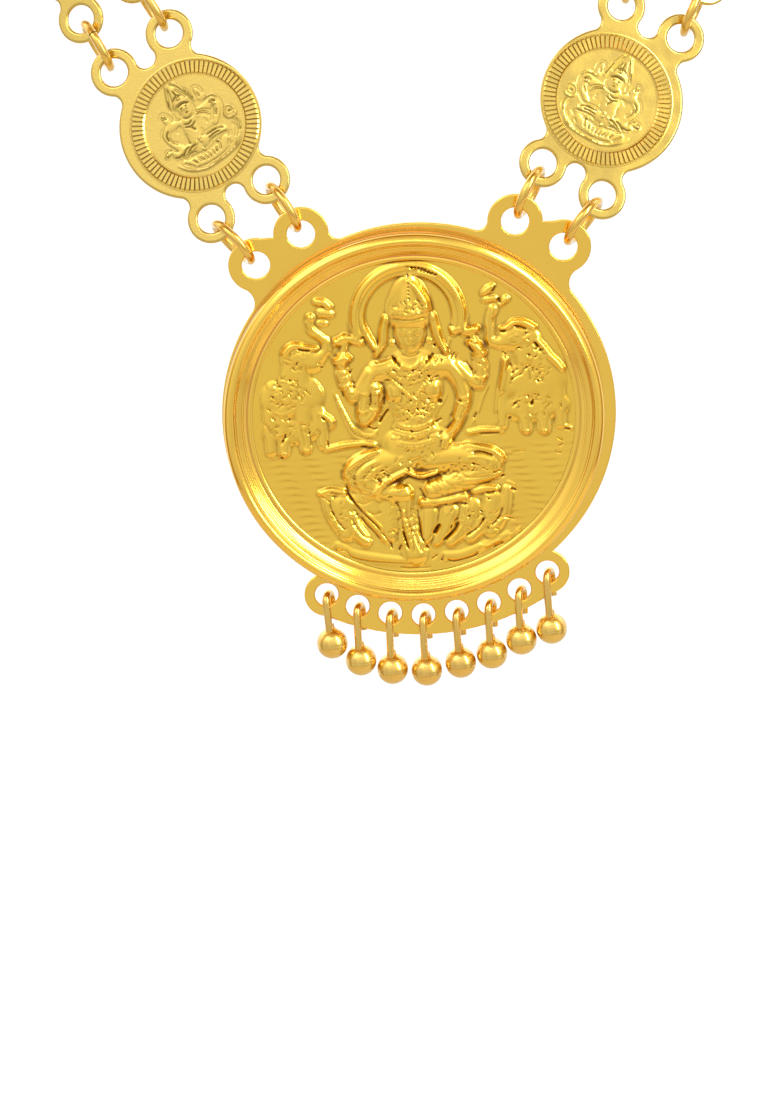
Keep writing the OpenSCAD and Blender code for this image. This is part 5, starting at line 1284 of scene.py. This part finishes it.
# %% [markdown]
# ## Studio
# Polished gold shows its surroundings, so the surroundings are most of its look. A white tent gives
# the pale, even gold of the photograph. It is a product of three ramps: from front to back, with warm
# openings at the sides that give the deep orange lines on steep slopes, from the ground to the bright
# ring under the roof, and from left to right, because a real tent is never even. A square soft box up
# at the left, a narrow one above and a tall one at the right draw the bright lines on the rim and on
# the upper edges of raised parts. The floor is pale paper.

# %% Floor
FLOOR_R, FLOOR_DROP, FLOOR_SIDES = 0.7, 0.4, 96
floor_mesh = bpy.data.meshes.new("floor")
floor_z = solid_box[0][2] - FLOOR_DROP
floor_turns = np.linspace(0, 2 * math.pi, FLOOR_SIDES + 1)[:-1]
floor_rim = [(FLOOR_R * math.cos(a), FLOOR_R * math.sin(a), floor_z) for a in floor_turns]
floor_mesh.from_pydata(floor_rim, [], [tuple(range(FLOOR_SIDES))])
floor = added("floor", floor_mesh)
paper = bpy.data.materials.new("matt_pale_paper")
paper.use_nodes = True
paper_shader = paper.node_tree.nodes["Principled BSDF"]
paper_shader.inputs["Base Color"].default_value = linear("#D0C8B4")
paper_shader.inputs["Roughness"].default_value = 0.9
floor_mesh.materials.append(paper)
print("floor at", round(floor_z * 1000), "mm")

# %% Tent
world = bpy.data.worlds.new("tent")
bpy.context.scene.world = world
world.use_nodes = True
tent = world.node_tree
tent.nodes.clear()
WARM, WHITE = (1.0, 0.6, 0.25), (1.0, 1.0, 1.0)
# from the camera's side, at -1, over the warm openings at the sides to the white back, at 1
WALLS = [(-1.0, 0.8, WHITE), (-0.84, 0.78, WHITE), (-0.68, 0.66, WHITE), (-0.48, 0.8, WHITE),
         (-0.28, 0.9, WHITE), (-0.12, 0.42, WARM), (0.06, 0.46, WARM), (0.2, 1.0, WHITE), (0.4, 1.1, WHITE)]
# from the ground, at -1, to the roof, at 1
HEIGHTS = [(-1.0, 0.5, WARM), (-0.75, 0.6, WARM), (-0.4, 1.0, WHITE), (0.0, 1.05, WHITE), (0.3, 1.33, WHITE),
           (0.5, 1.75, WHITE), (0.7, 1.55, WHITE), (0.85, 1.1, WHITE), (1.0, 0.7, WARM)]
# from the left, at -1, to the right, at 1
SIDES = [(-1.0, 1.0, WHITE), (-0.7, 1.0, WHITE), (-0.44, 1.12, WHITE), (-0.15, 1.0, WHITE),
         (0.15, 1.0, WHITE), (0.44, 0.9, WHITE), (0.7, 1.0, WHITE)]


def ramp(value, stops):
    """A colour ramp over -1 to 1 with the given (position, brightness, tint) stops."""
    spread = put(tent, "ShaderNodeMapRange", {"Value": value, "From Min": -1.0, "From Max": 1.0})
    node = put(tent, "ShaderNodeValToRGB", {"Fac": spread.outputs[0]})
    elements = node.color_ramp.elements
    elements.remove(elements[1])
    for k, (position, brightness, tint) in enumerate(stops):
        stop = elements[0] if k == 0 else elements.new((position + 1) / 2)
        stop.position = (position + 1) / 2
        stop.color = (*(brightness * share for share in tint), 1)
    return node.outputs[0]


toward = put(tent, "ShaderNodeTexCoord").outputs["Generated"]
axes = put(tent, "ShaderNodeSeparateXYZ", {"Vector": toward}).outputs
lit = ramp(axes["Y"], WALLS)
for axis, stops in (("Z", HEIGHTS), ("X", SIDES)):
    both = {"Factor": 1.0, 6: lit, 7: ramp(axes[axis], stops)}
    lit = put(tent, "ShaderNodeMix", both, data_type="RGBA", blend_type="MULTIPLY").outputs[2]
sky = put(tent, "ShaderNodeBackground", {"Color": lit, "Strength": 1.0})
put(tent, "ShaderNodeOutputWorld", {"Surface": sky})


# %% Soft boxes
LAMP_AIM = Vector((0, -0.14, -0.13))  # on the medal


def soft_box(name, place, size, radiance):
    """A rectangular lamp of a given brightness that faces the medal."""
    lamp = bpy.data.lights.new(name, "AREA")
    lamp.shape = "RECTANGLE"
    lamp.size, lamp.size_y = size
    lamp.energy = radiance * math.pi * size[0] * size[1]
    holder = added(name, lamp)
    holder.location = place
    holder.rotation_euler = (LAMP_AIM - Vector(place)).to_track_quat("-Z", "Y").to_euler()


soft_box("box_left", (-0.56, -0.7, 0.63), (0.55, 0.55), 1.7)
soft_box("box_above", (-0.08, -0.83, 0.56), (0.5, 0.045), 6.0)
soft_box("box_right", (0.78, -0.77, 0.33), (0.2, 0.95), 13.0)
bpy.context.scene.view_settings.view_transform = "Standard"
print("lamps:", len(bpy.data.lights))
